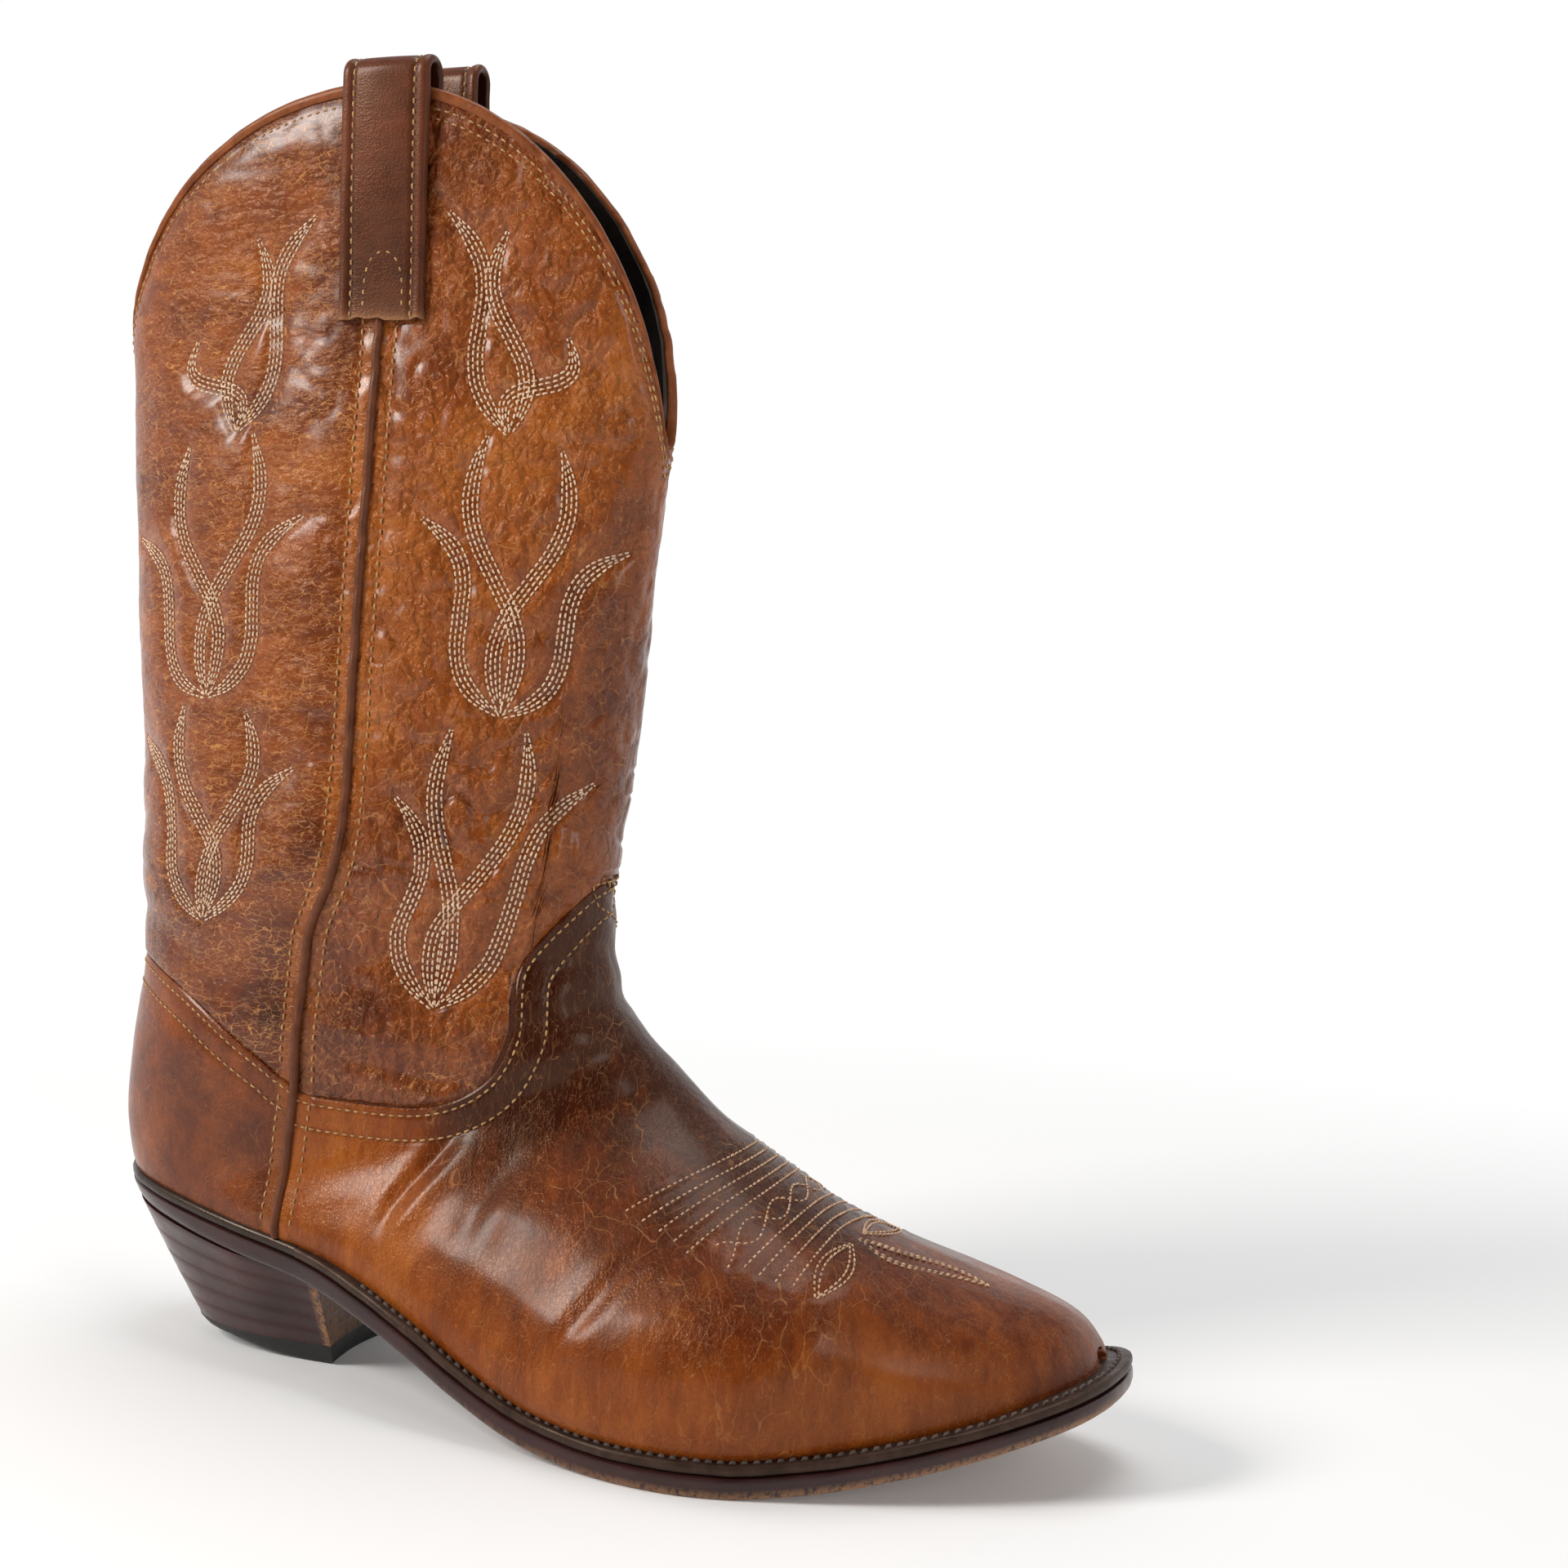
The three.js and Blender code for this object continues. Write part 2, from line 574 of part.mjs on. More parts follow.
// Half-round outline of the heel's bottom, from the outer breast corner round the back.
function heelBottomOutline(count) {
  const { back, breast, halfWidth, breastHalfWidth } = HEEL_BOTTOM;
  const roundLength = 0.62 * (breast - back);
  return Array.from({ length: count }, (_, i) => {
    const f = (2 * i) / (count - 1) - 1;
    const straight = Math.min(1, (1 - Math.abs(f)) / 0.25);
    const a = Math.min(1, Math.abs(f) / 0.75) * (Math.PI / 2);
    const x = straight < 1
      ? breast - (breast - back - roundLength) * straight
      : back + roundLength * (1 - Math.cos(a) ** 0.9);
    const y = straight < 1
      ? THREE.MathUtils.lerp(breastHalfWidth, halfWidth, straight)
      : halfWidth * Math.sin(a) ** 0.9;
    return [x, Math.sign(f) * y];
  });
}

// How far the top of the heel is set in from the edge of the sole.
function heelTopInset(x) {
  const { back, side, breast } = HEEL_TOP_INSET;
  const behind = THREE.MathUtils.lerp(back, side, THREE.MathUtils.smoothstep(x, -5, 45));
  return behind + (breast - side) * THREE.MathUtils.smoothstep(x, 45, HEEL_TOP_BREAST);
}

// Top outline of the heel: the heel part of the sole outline, set in and evenly spaced.
function heelTopOutline(count) {
  const edge = grown(soleOutline, (x) => -heelTopInset(x));
  const start = edge.reduce((best, p, i) => (p[0] < edge[best][0] ? i : best), 0);
  const n = edge.length;
  const walk = (direction) => {
    const side = [];
    let i = start;
    while (edge[i][0] < HEEL_TOP_BREAST) {
      side.push(edge[i]);
      i = (i + direction + n) % n;
    }
    const before = side.at(-1);
    const f = (HEEL_TOP_BREAST - before[0]) / (edge[i][0] - before[0]);
    side.push([HEEL_TOP_BREAST, before[1] + f * (edge[i][1] - before[1])]);
    return side;
  };
  const forward = walk(1);
  const backward = walk(-1);
  const [outer, inner] = forward.at(-1)[1] < 0 ? [forward, backward] : [backward, forward];
  const path = [...outer.reverse(), ...inner.slice(1)];
  const curve = new THREE.CatmullRomCurve3(path.map(([x, y]) => new THREE.Vector3(x, y, 0)));
  return curve.getSpacedPoints(count - 1).map((p) => [p.x, p.y]);
}

const HEEL_POINTS = 19;
const heelTop = heelTopOutline(HEEL_POINTS);
const heelBottom = heelBottomOutline(HEEL_POINTS);
const heelTopZ = (x) => HEEL_SEAT_Z - HEEL_PITCH * x - SOLE_STACK - GAP;

// Outline of the heel at a depth from 0 (under the outsole) to 1 (the floor).
function heelRing(depth, level) {
  const ring = heelTop.map(([x, y], i) => [
    THREE.MathUtils.lerp(x, heelBottom[i][0], depth),
    THREE.MathUtils.lerp(y, heelBottom[i][1], depth),
  ]);
  const [first, last] = [ring[0], ring.at(-1)];
  ring.push([(first[0] + last[0]) / 2 - BREAST_HOLLOW, (first[1] + last[1]) / 2]);
  return ring.map(([x, y]) => new THREE.Vector3(x, y, level(x)));
}

function heelLayer(upper, lower) {
  const rings = [upper, lower];
  const count = upper.length;
  const points = rings.flat();
  const triangles = [];
  for (let j = 0; j < count; j++) {
    const next = (j + 1) % count;
    triangles.push([j, count + j, count + next], [j, count + next, next]);
  }
  rings.forEach((ring, side) => {
    points.push(ring.reduce((sum, p) => sum.add(p), new THREE.Vector3()).divideScalar(count));
    for (let j = 0; j < count; j++) {
      const edge = [side * count + j, side * count + ((j + 1) % count)];
      if (side === 1) edge.reverse();
      triangles.push([...edge, points.length - 1]);
    }
  });
  return toManifold(solidFrom(points, triangles));
}

// Height of the joint line k of the stack: sloping like the seat at the top, level at the cap.
const liftLevel = (k, shift) => (x) => {
  const f = k / HEEL_LIFTS;
  return THREE.MathUtils.lerp(heelTopZ(x), CAP_THICKNESS + GAP, f) + shift;
};
const liftDepth = (k) => (k / HEEL_LIFTS) * (1 - CAP_THICKNESS / HEEL_HEIGHT);

function heelLift(k) {
  const shift = k === 0 ? 0 : -GAP;
  const top = heelRing(liftDepth(k), liftLevel(k, shift));
  return heelLayer(top, heelRing(liftDepth(k + 1), liftLevel(k + 1, 0)));
}

function heelCap() {
  const top = heelRing(liftDepth(HEEL_LIFTS), () => CAP_THICKNESS);
  return heelLayer(top, heelRing(1, () => 0));
}

function roundPin(radius, length, sides) {
  const pin = new THREE.CylinderGeometry(radius, radius, length, sides);
  pin.rotateX(Math.PI / 2);
  return pin;
}

function nailAt([x, y]) {
  const pin = roundPin(NAIL_RADIUS, NAIL_LENGTH, 8);
  pin.translate(x, y, NAIL_BASE + NAIL_LENGTH / 2);
  return pin;
}

// Bores are open at the floor, so each starts below it and ends just over its nail.
function nailBore([x, y]) {
  const bore = roundPin(NAIL_RADIUS + GAP, NAIL_LENGTH + BORE_EXTRA, 8);
  bore.translate(x, y, NAIL_BASE + (NAIL_LENGTH - BORE_EXTRA) / 2 + GAP);
  return toManifold(bore);
}

const withoutNails = (solid) => NAIL_PLACES.reduce((left, place) => left.subtract(nailBore(place)), solid);

function pegPlace(row, i) {
  const x = PEG_START + (i * PEG_SPAN) / (PEGS_PER_SIDE - 1);
  const [start, slope] = PEG_ROWS[row];
  return [x, start + slope * (x - PEG_START)];
}

function pegAt([x, y], grow = 0, extra = 0) {
  const pin = roundPin(PEG_RADIUS + grow, PEG_LENGTH + extra, 6);
  pin.translate(x, y, seatZ(x) - SOLE_STACK + OUTSOLE_THICKNESS / 2);
  return pin;
}

const pegPlaces = Object.keys(PEG_ROWS).flatMap((row) => (
  Array.from({ length: PEGS_PER_SIDE }, (_, i) => ({ name: `${row}_${i + 1}`, place: pegPlace(row, i) }))
));

const withoutPegs = (solid) => pegPlaces.reduce(
  (left, { place }) => left.subtract(toManifold(pegAt(place, GAP, BORE_EXTRA))),
  solid,
);

// ---- assembly ------------------------------------------------------------------------------

const boot = new THREE.Group();

function add(name, shape, look) {
  const geometry = shape.isBufferGeometry ? shape : toGeometry(shape);
  const mesh = new THREE.Mesh(geometry, new THREE.MeshStandardMaterial(look));
  mesh.name = name;
  boot.add(mesh);
}

function addShaft() {
  const vampEdge = sampled(VAMP_LINE, 24);
  const counterEdge = sampled(COUNTER_LINE, 10);
  const aboveVamp = above(shiftedLine(vampEdge, -GAP, GAP));
  const aboveCounter = above(shiftedLine(counterEdge, 0, GAP));
  add('front_shaft_panel', shaftPanel(SHAFT_LEATHER, true, FRONT_SHAFT_END).intersect(aboveVamp), COGNAC);
  add('back_shaft_panel', shaftPanel(SHAFT_LEATHER, false, BACK_SHAFT_END).intersect(aboveCounter), COGNAC);
  add('front_shaft_lining', shaftPanel(SHAFT_LINING, true, FRONT_SHAFT_END).intersect(aboveVamp), BLACK_LINING);
  const backLining = shaftPanel(SHAFT_LINING, false, BACK_SHAFT_END);
  add('back_shaft_lining', backLining.intersect(aboveCounter), BLACK_LINING);
  add('top_binding_front', topBinding(true), COGNAC);
  add('top_binding_back', topBinding(false), COGNAC);
}

function addFoot() {
  const aboveSeat = above(seatPoints(0));
  const belowVamp = below(sampled(VAMP_LINE, 24));
  const belowCounter = below(sampled(COUNTER_LINE, 10));
  const leather = footShell(FOOT_LEATHER, LEATHER_SPAN).intersect(aboveSeat);
  add('vamp', leather.intersect(aheadOfSeam(SEAM_HALF_GAP)).intersect(belowVamp), COGNAC);
  add('heel_counter', leather.intersect(behindSeam(SEAM_HALF_GAP)).intersect(belowCounter), COGNAC);
  const lining = footShell(FOOT_LINING, LINING_SPAN).intersect(aboveSeat);
  add('vamp_lining', lining.intersect(aheadOfSeam(GAP)).intersect(belowVamp), LINING);
  add('heel_lining', lining.intersect(behindSeam(GAP)).intersect(belowCounter), LINING);
  const toeBox = footShell(STIFFENER, TOE_BOX_SPAN).intersect(aboveSeat);
  add('toe_box', toeBox, BOARD);
  const stiffened = footShell(STIFFENER, COUNTER_SPAN).intersect(aboveSeat);
  const belowEdge = below(shiftedLine(sampled(COUNTER_LINE, 10), 0, -STIFFENER_SEAM_GAP));
  add('counter_stiffener', stiffened.intersect(behindSeam(STIFFENER_SEAM_GAP)).intersect(belowEdge), BOARD);
}

function addTrim() {
  for (const [name, side] of [['outer', 1], ['inner', -1]]) {
    add(`side_piping_${name}`, sidePiping(side), CORD);
    add(`pull_strap_${name}`, pullStrap(side, STRAP_TOPS[name]), CHOCOLATE);
  }
}

function addSole() {
  add('insole', insole(), BOARD);
  add('heel_pad', heelPad(), LINING);
  add('steel_shank', steelShank(), STEEL);
  add('cork_filler', corkFiller(), CORK);
  add('welt', welt(), WELT);
  add('heel_rand', heelRand(), WELT);
  add('outsole', withoutPegs(outsole()), SOLE);
  for (const { name, place } of pegPlaces) add(`wood_peg_${name}`, pegAt(place), WOOD);
}

function addHeel() {
  for (let k = 0; k < HEEL_LIFTS; k++) add(`heel_lift_${k + 1}`, withoutNails(heelLift(k)), SOLE);
  add('heel_cap', withoutNails(heelCap()), RUBBER);
  NAIL_PLACES.forEach((place, i) => add(`heel_nail_${i + 1}`, nailAt(place), STEEL));
}

addShaft();
addFoot();
addTrim();
addSole();
addHeel();

// The origin is the middle of the boot's footprint, on the floor.
const bounds = new THREE.Box3().setFromObject(boot);
boot.position.set(-(bounds.min.x + bounds.max.x) / 2, -(bounds.min.y + bounds.max.y) / 2, 0);

export default boot;
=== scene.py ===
"""Western riding boot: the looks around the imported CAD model.

Every piece follows one lofted body surface. Work is done in millimetres, in heel coordinates:
x = 0 near the back of the heel, +X to the toe, +Y to the inner side, z = 0 on the floor.
"""

import math

import bpy
import numpy as np
from mathutils import Matrix, Vector, kdtree


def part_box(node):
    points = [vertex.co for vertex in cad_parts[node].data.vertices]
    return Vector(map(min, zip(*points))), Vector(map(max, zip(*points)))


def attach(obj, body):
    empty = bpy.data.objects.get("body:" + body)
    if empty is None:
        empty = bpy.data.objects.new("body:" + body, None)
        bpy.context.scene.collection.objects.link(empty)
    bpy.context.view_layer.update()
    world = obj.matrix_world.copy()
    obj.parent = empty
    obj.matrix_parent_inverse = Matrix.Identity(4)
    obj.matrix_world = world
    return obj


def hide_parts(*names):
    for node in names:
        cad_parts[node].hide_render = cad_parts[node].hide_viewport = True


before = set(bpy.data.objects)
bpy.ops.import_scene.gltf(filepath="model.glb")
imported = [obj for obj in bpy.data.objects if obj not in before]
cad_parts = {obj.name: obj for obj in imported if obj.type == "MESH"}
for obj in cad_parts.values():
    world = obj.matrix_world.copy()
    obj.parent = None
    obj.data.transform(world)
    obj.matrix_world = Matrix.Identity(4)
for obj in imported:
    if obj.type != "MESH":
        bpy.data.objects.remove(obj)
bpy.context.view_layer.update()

# ---- dimensions ----------------------------------------------------------------------------

# Sections of the body from the top of the shaft to the toe. Each is a closed superellipse
# between a back (or sole) point and a front (or instep) point.
# [back x, back z, front x, front z, outer half width, inner half width,
#  back squareness, front squareness, widest level, sideways shift]
SECTIONS = np.array([
    [-18.5, 380, 167, 380, 17, 17, 2.0, 2.0, 0.5, -10],
    [-19, 310, 164, 310, 21, 21, 2.0, 2.0, 0.5, -5],
    [-15, 240, 157.5, 240, 29, 29, 2.0, 2.0, 0.5, -3],
    [-11, 185, 152, 188, 35, 35, 2.1, 2.0, 0.5, 0],
    [-6.5, 147.5, 148, 152, 37.5, 37, 2.2, 2.0, 0.48, -1],
    [-4, 116, 147.5, 128, 37, 37, 2.4, 2.0, 0.45, 0],
    [-5, 87.5, 152, 113.5, 37, 37, 2.6, 2.1, 0.42, -1.5],
    [-5.5, 64, 162, 102, 37.5, 37, 2.8, 2.1, 0.4, 0],
    [2, 45.5, 172, 92, 39, 36.5, 3.0, 2.1, 0.38, 2],
    [30, 39, 183, 83.5, 42, 36, 3.4, 2.1, 0.36, 0.5],
    [69, 36, 194.5, 77.5, 46.5, 36, 3.8, 2.1, 0.34, -0.5],
    [108, 22.5, 207.5, 71.5, 52, 38, 4.0, 2.1, 0.32, -3],
    [150, 8, 221.5, 65, 57, 42, 4.0, 2.1, 0.32, -7],
    [193, 2, 238, 58, 57.5, 44, 4.0, 2.2, 0.32, -5],
    [233, 3, 255, 51.5, 48.5, 38.5, 3.6, 2.2, 0.34, 2],
    [263, 6.5, 270, 47, 36, 30, 3.2, 2.2, 0.36, 4.5],
    [283, 10.5, 283, 42.5, 23.5, 21, 3.0, 2.2, 0.38, 6],
    [294, 14.5, 289.5, 37, 13.5, 12.5, 2.6, 2.2, 0.4, 8],
    [299, 18, 292, 31.5, 3, 3, 2.2, 2.2, 0.45, 9],
])
TIP = len(SECTIONS) - 1

TOP_PEAK = 376.5
FRONT_DIP = 254
BACK_DIP = 292
DIP_ROUNDING = 0.16

SIDE_SEAM = [(78, 400), (78, 200), (78, 160), (75.5, 147), (69, 131), (67, 105), (66.5, 84),
             (64.5, 64), (64.5, 20)]

HEEL_SEAT_Z = 52
HEEL_PITCH = 0.145
BREAST_X = 72
BALL_START = 180
BALL_END = 212
SOLE_STACK = 9.6
SEAT_LINE = [(60, 43.3), (75, 41.1), (92, 37.3), (111, 30.5), (130, 21.5), (150, 13.6),
             (165, 10.6), (BALL_START, SOLE_STACK), (BALL_END, SOLE_STACK), (235, 12.6),
             (255, 17.2), (270, 21.5),
             (285, 27), (300, 33), (320, 41)]

LEDGE_HEEL = 2
LEDGE_SIDE = 4.2
LEDGE_TOE = 7

# Side-view lines as (x, z), from the side seam to the middle of the front or back: the top
# edge of the vamp with its tongue, and of the heel counter.
VAMP_EDGE = [(66.5, 84.6), (77, 83.5), (106, 84), (123, 92), (130, 106), (129.5, 124),
             (139, 139), (148.6, 150)]
COUNTER_EDGE = [(67, 85.5), (47, 97), (27, 108), (8, 115), (-4.6, 117)]

# Width in millimetres that one half of the front or back panel is drawn at.
DRAWN_WIDTH = {"front": 90, "back": 102}
SEAM_ROW = 5.4
TOP_ROWS = {"front": (4.6, 7.4), "back": (5.0,)}

# Stitched drawing of the shaft: fans of plain S-shaped leaves. Each fan has a root and its
# leaves' tips, as [distance from the side seam, level, bow].
FANS = [
    ((38, 112), [(16, 172, -5), (32, 192, 5), (54, 192, -5), (76, 178, 6)]),
    ((46, 196), [(18, 252, -6), (36, 276, 6), (58, 272, -6), (80, 244, 6)]),
    ((42, 276), [(20, 340, -5), (38, 334, 5), (57, 304, -6)]),
]
LEAF_POINTS = 9
ROWS_PER_BAND = 4
ROW_SPACING = 1.4
BAND_TAPER = 14
# On the back panel the drawing is squeezed upward, to end above the heel counter.
BACK_LIFT = 22
BACK_LIFT_FROM = 200
BACK_LIFT_TO = 97

THREAD_RADIUS = 0.33

# Camera, from the way the object is seen: angles in degrees, lengths in millimetres.
CAMERA_TURN = 23.1
CAMERA_RISE = 1.73
CAMERA_ROLL = 2.42
CAMERA_DISTANCE = 664.75
CAMERA_TARGET = (140, 0, 203.7)
CAMERA_SENSOR = 36
CAMERA_LENS = 52.41
CAMERA_SHIFT = (0.1197, -0.0582)
DIM_ROOM = 0.05

# Where heel coordinates lie in the frame: the rear nail of the heel is at x 26, y 0.5.
NAIL_PLACE = np.array([26, 0.5, 0])
nail_low, nail_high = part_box("heel_nail_5")
SHIFT = (np.array(nail_low) + np.array(nail_high)) * 500 - NAIL_PLACE
SHIFT[2] = 0

# ---- curves and noise ----------------------------------------------------------------------


def catmull(rows, t):
    """Smooth curve through rows at fractional places t."""
    rows = np.asarray(rows, float)
    t = np.asarray(t, float)
    last = len(rows) - 1
    i = np.clip(np.floor(t).astype(int), 0, last - 1)
    f = (t - i)[..., None]
    b, c = rows[i], rows[i + 1]
    a = np.where((i > 0)[..., None], rows[np.maximum(i - 1, 0)], 2 * b - c)
    d = np.where((i < last - 1)[..., None], rows[np.minimum(i + 2, last)], 2 * c - b)
    bend = 2 * a - 5 * b + 4 * c - d
    twist = 3 * b - a - 3 * c + d
    return b + 0.5 * f * ((c - a) + f * (bend + f * twist))


def curve_through(points):
    """Smooth function y(x) through (x, y) points with rising x."""
    points = np.asarray(points, float)

    def value(x):
        x = np.asarray(x, float)
        i = np.clip(np.searchsorted(points[:, 0], x, side="right") - 1, 0, len(points) - 2)
        t = i + (x - points[i, 0]) / (points[i + 1, 0] - points[i, 0])
        return catmull(points, t)[..., 1]
    return value


def spaced(points, spacing=None, count=None):
    """The polyline resampled at equal steps."""
    points = np.asarray(points, float)
    steps = np.linalg.norm(np.diff(points, axis=0), axis=1)
    run = np.concatenate([[0], np.cumsum(steps)])
    if count is None:
        count = max(2, int(round(run[-1] / spacing)) + 1)
    places = np.linspace(0, run[-1], count)
    return np.stack([np.interp(places, run, points[:, k]) for k in range(points.shape[1])], 1)


def spline(points, spacing):
    """Smooth line through the points, in equal steps."""
    fine = catmull(points, np.linspace(0, len(points) - 1, 24 * len(points)))
    return spaced(fine, spacing)


def smooth(x, low, high):
    f = np.clip((np.asarray(x, float) - low) / (high - low), 0, 1)
    return f * f * (3 - 2 * f)


def noise(points, size, seed):
    """Smooth noise from -1 to 1, with features about this many millimetres across."""
    q = np.asarray(points, float) / size + seed * 7.31
    cell = np.floor(q).astype(np.int64)
    f = q - cell
    f = f * f * (3 - 2 * f)
    total = 0
    for corner in np.ndindex(2, 2, 2):
        weight = 1
        mixed = seed * 1013904223
        for axis, prime in enumerate((73856093, 19349663, 83492791)):
            weight = weight * (f[..., axis] if corner[axis] else 1 - f[..., axis])
            mixed = mixed ^ ((cell[..., axis] + corner[axis]) * prime)
        mixed = (mixed ^ (mixed >> 13)) * 1274126177
        mixed = (mixed ^ (mixed >> 16)) & 0xFFFF
        total = total + weight * (mixed / 32767.5 - 1)
    return total


# ---- the body surface ----------------------------------------------------------------------

front_seat = curve_through(SEAT_LINE)
seam_x = curve_through([(z, x) for x, z in reversed(SIDE_SEAM)])


def seat_z(x):
    x = np.asarray(x, float)
    ahead = np.maximum(front_seat(x), SOLE_STACK)
    ahead = np.where((x > BALL_START) & (x < BALL_END), SOLE_STACK, ahead)
    return np.where(x < BREAST_X, HEEL_SEAT_Z - HEEL_PITCH * x, ahead)


def top_z(turn):
    dip = np.where(np.cos(turn) > 0, BACK_DIP, FRONT_DIP)
    rise = np.hypot(np.sin(turn), DIP_ROUNDING) / math.hypot(1, DIP_ROUNDING)
    return dip + (TOP_PEAK - dip) * rise


def body(t, turn):
    """Point at section t (0 top, TIP toe) and turn: 0 is the back or sole, a quarter turn the
    outer side, half a turn the front or instep."""
    t, turn = np.broadcast_arrays(np.asarray(t, float), np.asarray(turn, float))
    row = catmull(SECTIONS, t)
    bx, bz, fx, fz, outer, inner, back_n, front_n, widest, shift = np.moveaxis(row, -1, 0)
    c, s = np.cos(turn), np.sin(turn)
    power = 2 / np.where(c > 0, back_n, front_n)
    reach = np.abs(c) ** power
    along = np.where(c > 0, widest * (1 - reach), widest + (1 - widest) * reach)
    side = np.where(s > 0, -outer, inner) * np.abs(s) ** power
    return np.stack([bx + along * (fx - bx), side + shift, bz + along * (fz - bz)], -1)


def slopes(t, turn):
    step = 0.02
    ahead, behind = np.minimum(t + step, TIP), np.maximum(t - step, 0)
    lengthwise = (body(ahead, turn) - body(behind, turn)) / (ahead - behind)[..., None]
    around = (body(t, turn + step) - body(t, turn - step)) / (2 * step)
    return lengthwise, around


def normal(t, turn):
    t, turn = np.broadcast_arrays(np.asarray(t, float), np.asarray(turn, float))
    lengthwise, around = slopes(t, turn)
    n = np.cross(lengthwise, around)
    n /= np.linalg.norm(n, axis=-1, keepdims=True) + 1e-12
    centre = (body(t, 0 * t) + body(t, 0 * t + math.pi)) / 2
    outward = ((body(t, turn) - centre) * n).sum(-1, keepdims=True)
    return np.where(outward < 0, -n, n)


def walk(t, turn, move):
    """(t, turn) after a short move in space along the surface."""
    pieces = 4
    for _ in range(pieces):
        lengthwise, around = slopes(t, turn)
        a = (lengthwise * lengthwise).sum(-1)
        b = (lengthwise * around).sum(-1)
        c = (around * around).sum(-1)
        p = (lengthwise * move).sum(-1) / pieces
        q = (around * move).sum(-1) / pieces
        whole = a * c - b * b
        t = t + (p * c - q * b) / whole
        turn = turn + (q * a - p * b) / whole
    return t, turn


def bisect(low, high, below, rounds=36):
    low, high = np.array(low, float), np.array(high, float)
    for _ in range(rounds):
        middle = (low + high) / 2
        is_below = below(middle)
        low = np.where(is_below, middle, low)
        high = np.where(is_below, high, middle)
    return (low + high) / 2


TABLE_T = np.linspace(0, 11, 221)
TABLE_SHARES = np.linspace(0, 1, 61)


def ring_table(half, side):
    """Turn angles at equal steps round each ring, from the side seam to the middle of a half."""
    seam = bisect(0 * TABLE_T, 0 * TABLE_T + math.pi,
                  lambda turn: body(TABLE_T, turn)[:, 0] < seam_x(body(TABLE_T, turn)[:, 2]))
    if side < 0:
        inner = body(TABLE_T, -seam)
        seam = bisect(0 * TABLE_T, 0 * TABLE_T + math.pi,
                      lambda turn: body(TABLE_T, -turn)[:, 0] < seam_x(inner[:, 2]))
    middle = math.pi if half == "front" else 0
    share = np.linspace(0, 1, 161)
    turns = seam[:, None] + (middle - seam[:, None]) * share
    ring = body(TABLE_T[:, None], side * turns)
    steps = np.linalg.norm(np.diff(ring, axis=1), axis=2)
    run = np.concatenate([np.zeros((len(TABLE_T), 1)), np.cumsum(steps, axis=1)], axis=1)
    table = [np.interp(TABLE_SHARES * run[i, -1], run[i], turns[i]) for i in range(len(TABLE_T))]
    return side * np.array(table), run[:, -1]


RINGS = {(half, side): ring_table(half, side) for half in ("front", "back") for side in (1, -1)}


def turn_at(half, side, t, share):
    """Turn angle of a place given by its share of the way from the side seam to the middle."""
    table = RINGS[half, side][0]
    ti = np.clip(t / (TABLE_T[1] - TABLE_T[0]), 0, len(TABLE_T) - 1.001)
    si = np.clip(share, 0, 1) * (len(TABLE_SHARES) - 1.001)
    i, j = ti.astype(int), si.astype(int)
    a, b = ti - i, si - j
    near = table[i, j] * (1 - b) + table[i, j + 1] * b
    far = table[i + 1, j] * (1 - b) + table[i + 1, j + 1] * b
    return near * (1 - a) + far * a


def seen_from_side(side, x, z):
    """(t, turn) of the point on one side of the body that lies at x, z in the side view."""
    x, z = np.asarray(x, float), np.asarray(z, float)

    def turn_of(t):
        return side * bisect(0 * t, 0 * t + math.pi,
                             lambda turn: body(t, side * turn)[..., 0] < x, 30)
    t = bisect(0 * x, 0 * x + 9.5, lambda t: body(t, turn_of(t))[..., 2] > z, 30)
    return t, turn_of(t)


def edge_run(edge, side):
    """(t, turn) along the top edge of vamp or counter, from the side seam to the middle."""
    line = spline(edge, 0.4)
    return seen_from_side(side, line[:, 0], line[:, 1])


def half_width(half, side, t):
    return np.interp(t, TABLE_T, RINGS[half, side][1])


def place(half, side, share, z):
    """(t, turn) of a place on a shaft half, from its share and height."""
    share, z = np.broadcast_arrays(np.asarray(share, float), np.asarray(z, float))
    t = bisect(0 * share, 0 * share + 9.5,
               lambda t: body(t, turn_at(half, side, t, share))[..., 2] > z)
    return t, turn_at(half, side, t, share)


# ---- meshes --------------------------------------------------------------------------------


def add_mesh(name, vertices, faces, sharp_angle=50):
    """Closed mesh from points in millimetres, its faces pointing outward."""
    vertices = np.asarray(vertices, float)
    whole = np.array([f[:3] for f in faces])
    centre = vertices.mean(0)
    p = vertices[whole] - centre
    volume = (p[:, 0] * np.cross(p[:, 1], p[:, 2])).sum()
    if volume < 0:
        faces = [face[::-1] for face in faces]
    mesh = bpy.data.meshes.new(name)
    mesh.from_pydata(((vertices + SHIFT) / 1000).tolist(), [], faces)
    mesh.polygons.foreach_set("use_smooth", [True] * len(mesh.polygons))
    if sharp_angle:
        mesh.set_sharp_from_angle(angle=math.radians(sharp_angle))
    obj = bpy.data.objects.new(name, mesh)
    bpy.context.scene.collection.objects.link(obj)
    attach(obj, "root")
    return obj


def set_attribute(obj, name, values):
    """Per-vertex numbers for a material. Vertices past the given ones stay at 0."""
    count = len(obj.data.vertices)
    full = np.zeros(count, np.float32)
    values = np.asarray(values, np.float32).ravel()[:count]
    full[: len(values)] = values
    layer = obj.data.attributes.new(name, "FLOAT", "POINT")
    layer.data.foreach_set("value", full)


def finish_piece(obj, material, slot, *nodes):
    obj.data.materials.append(material)
    if nodes:
        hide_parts(*nodes)


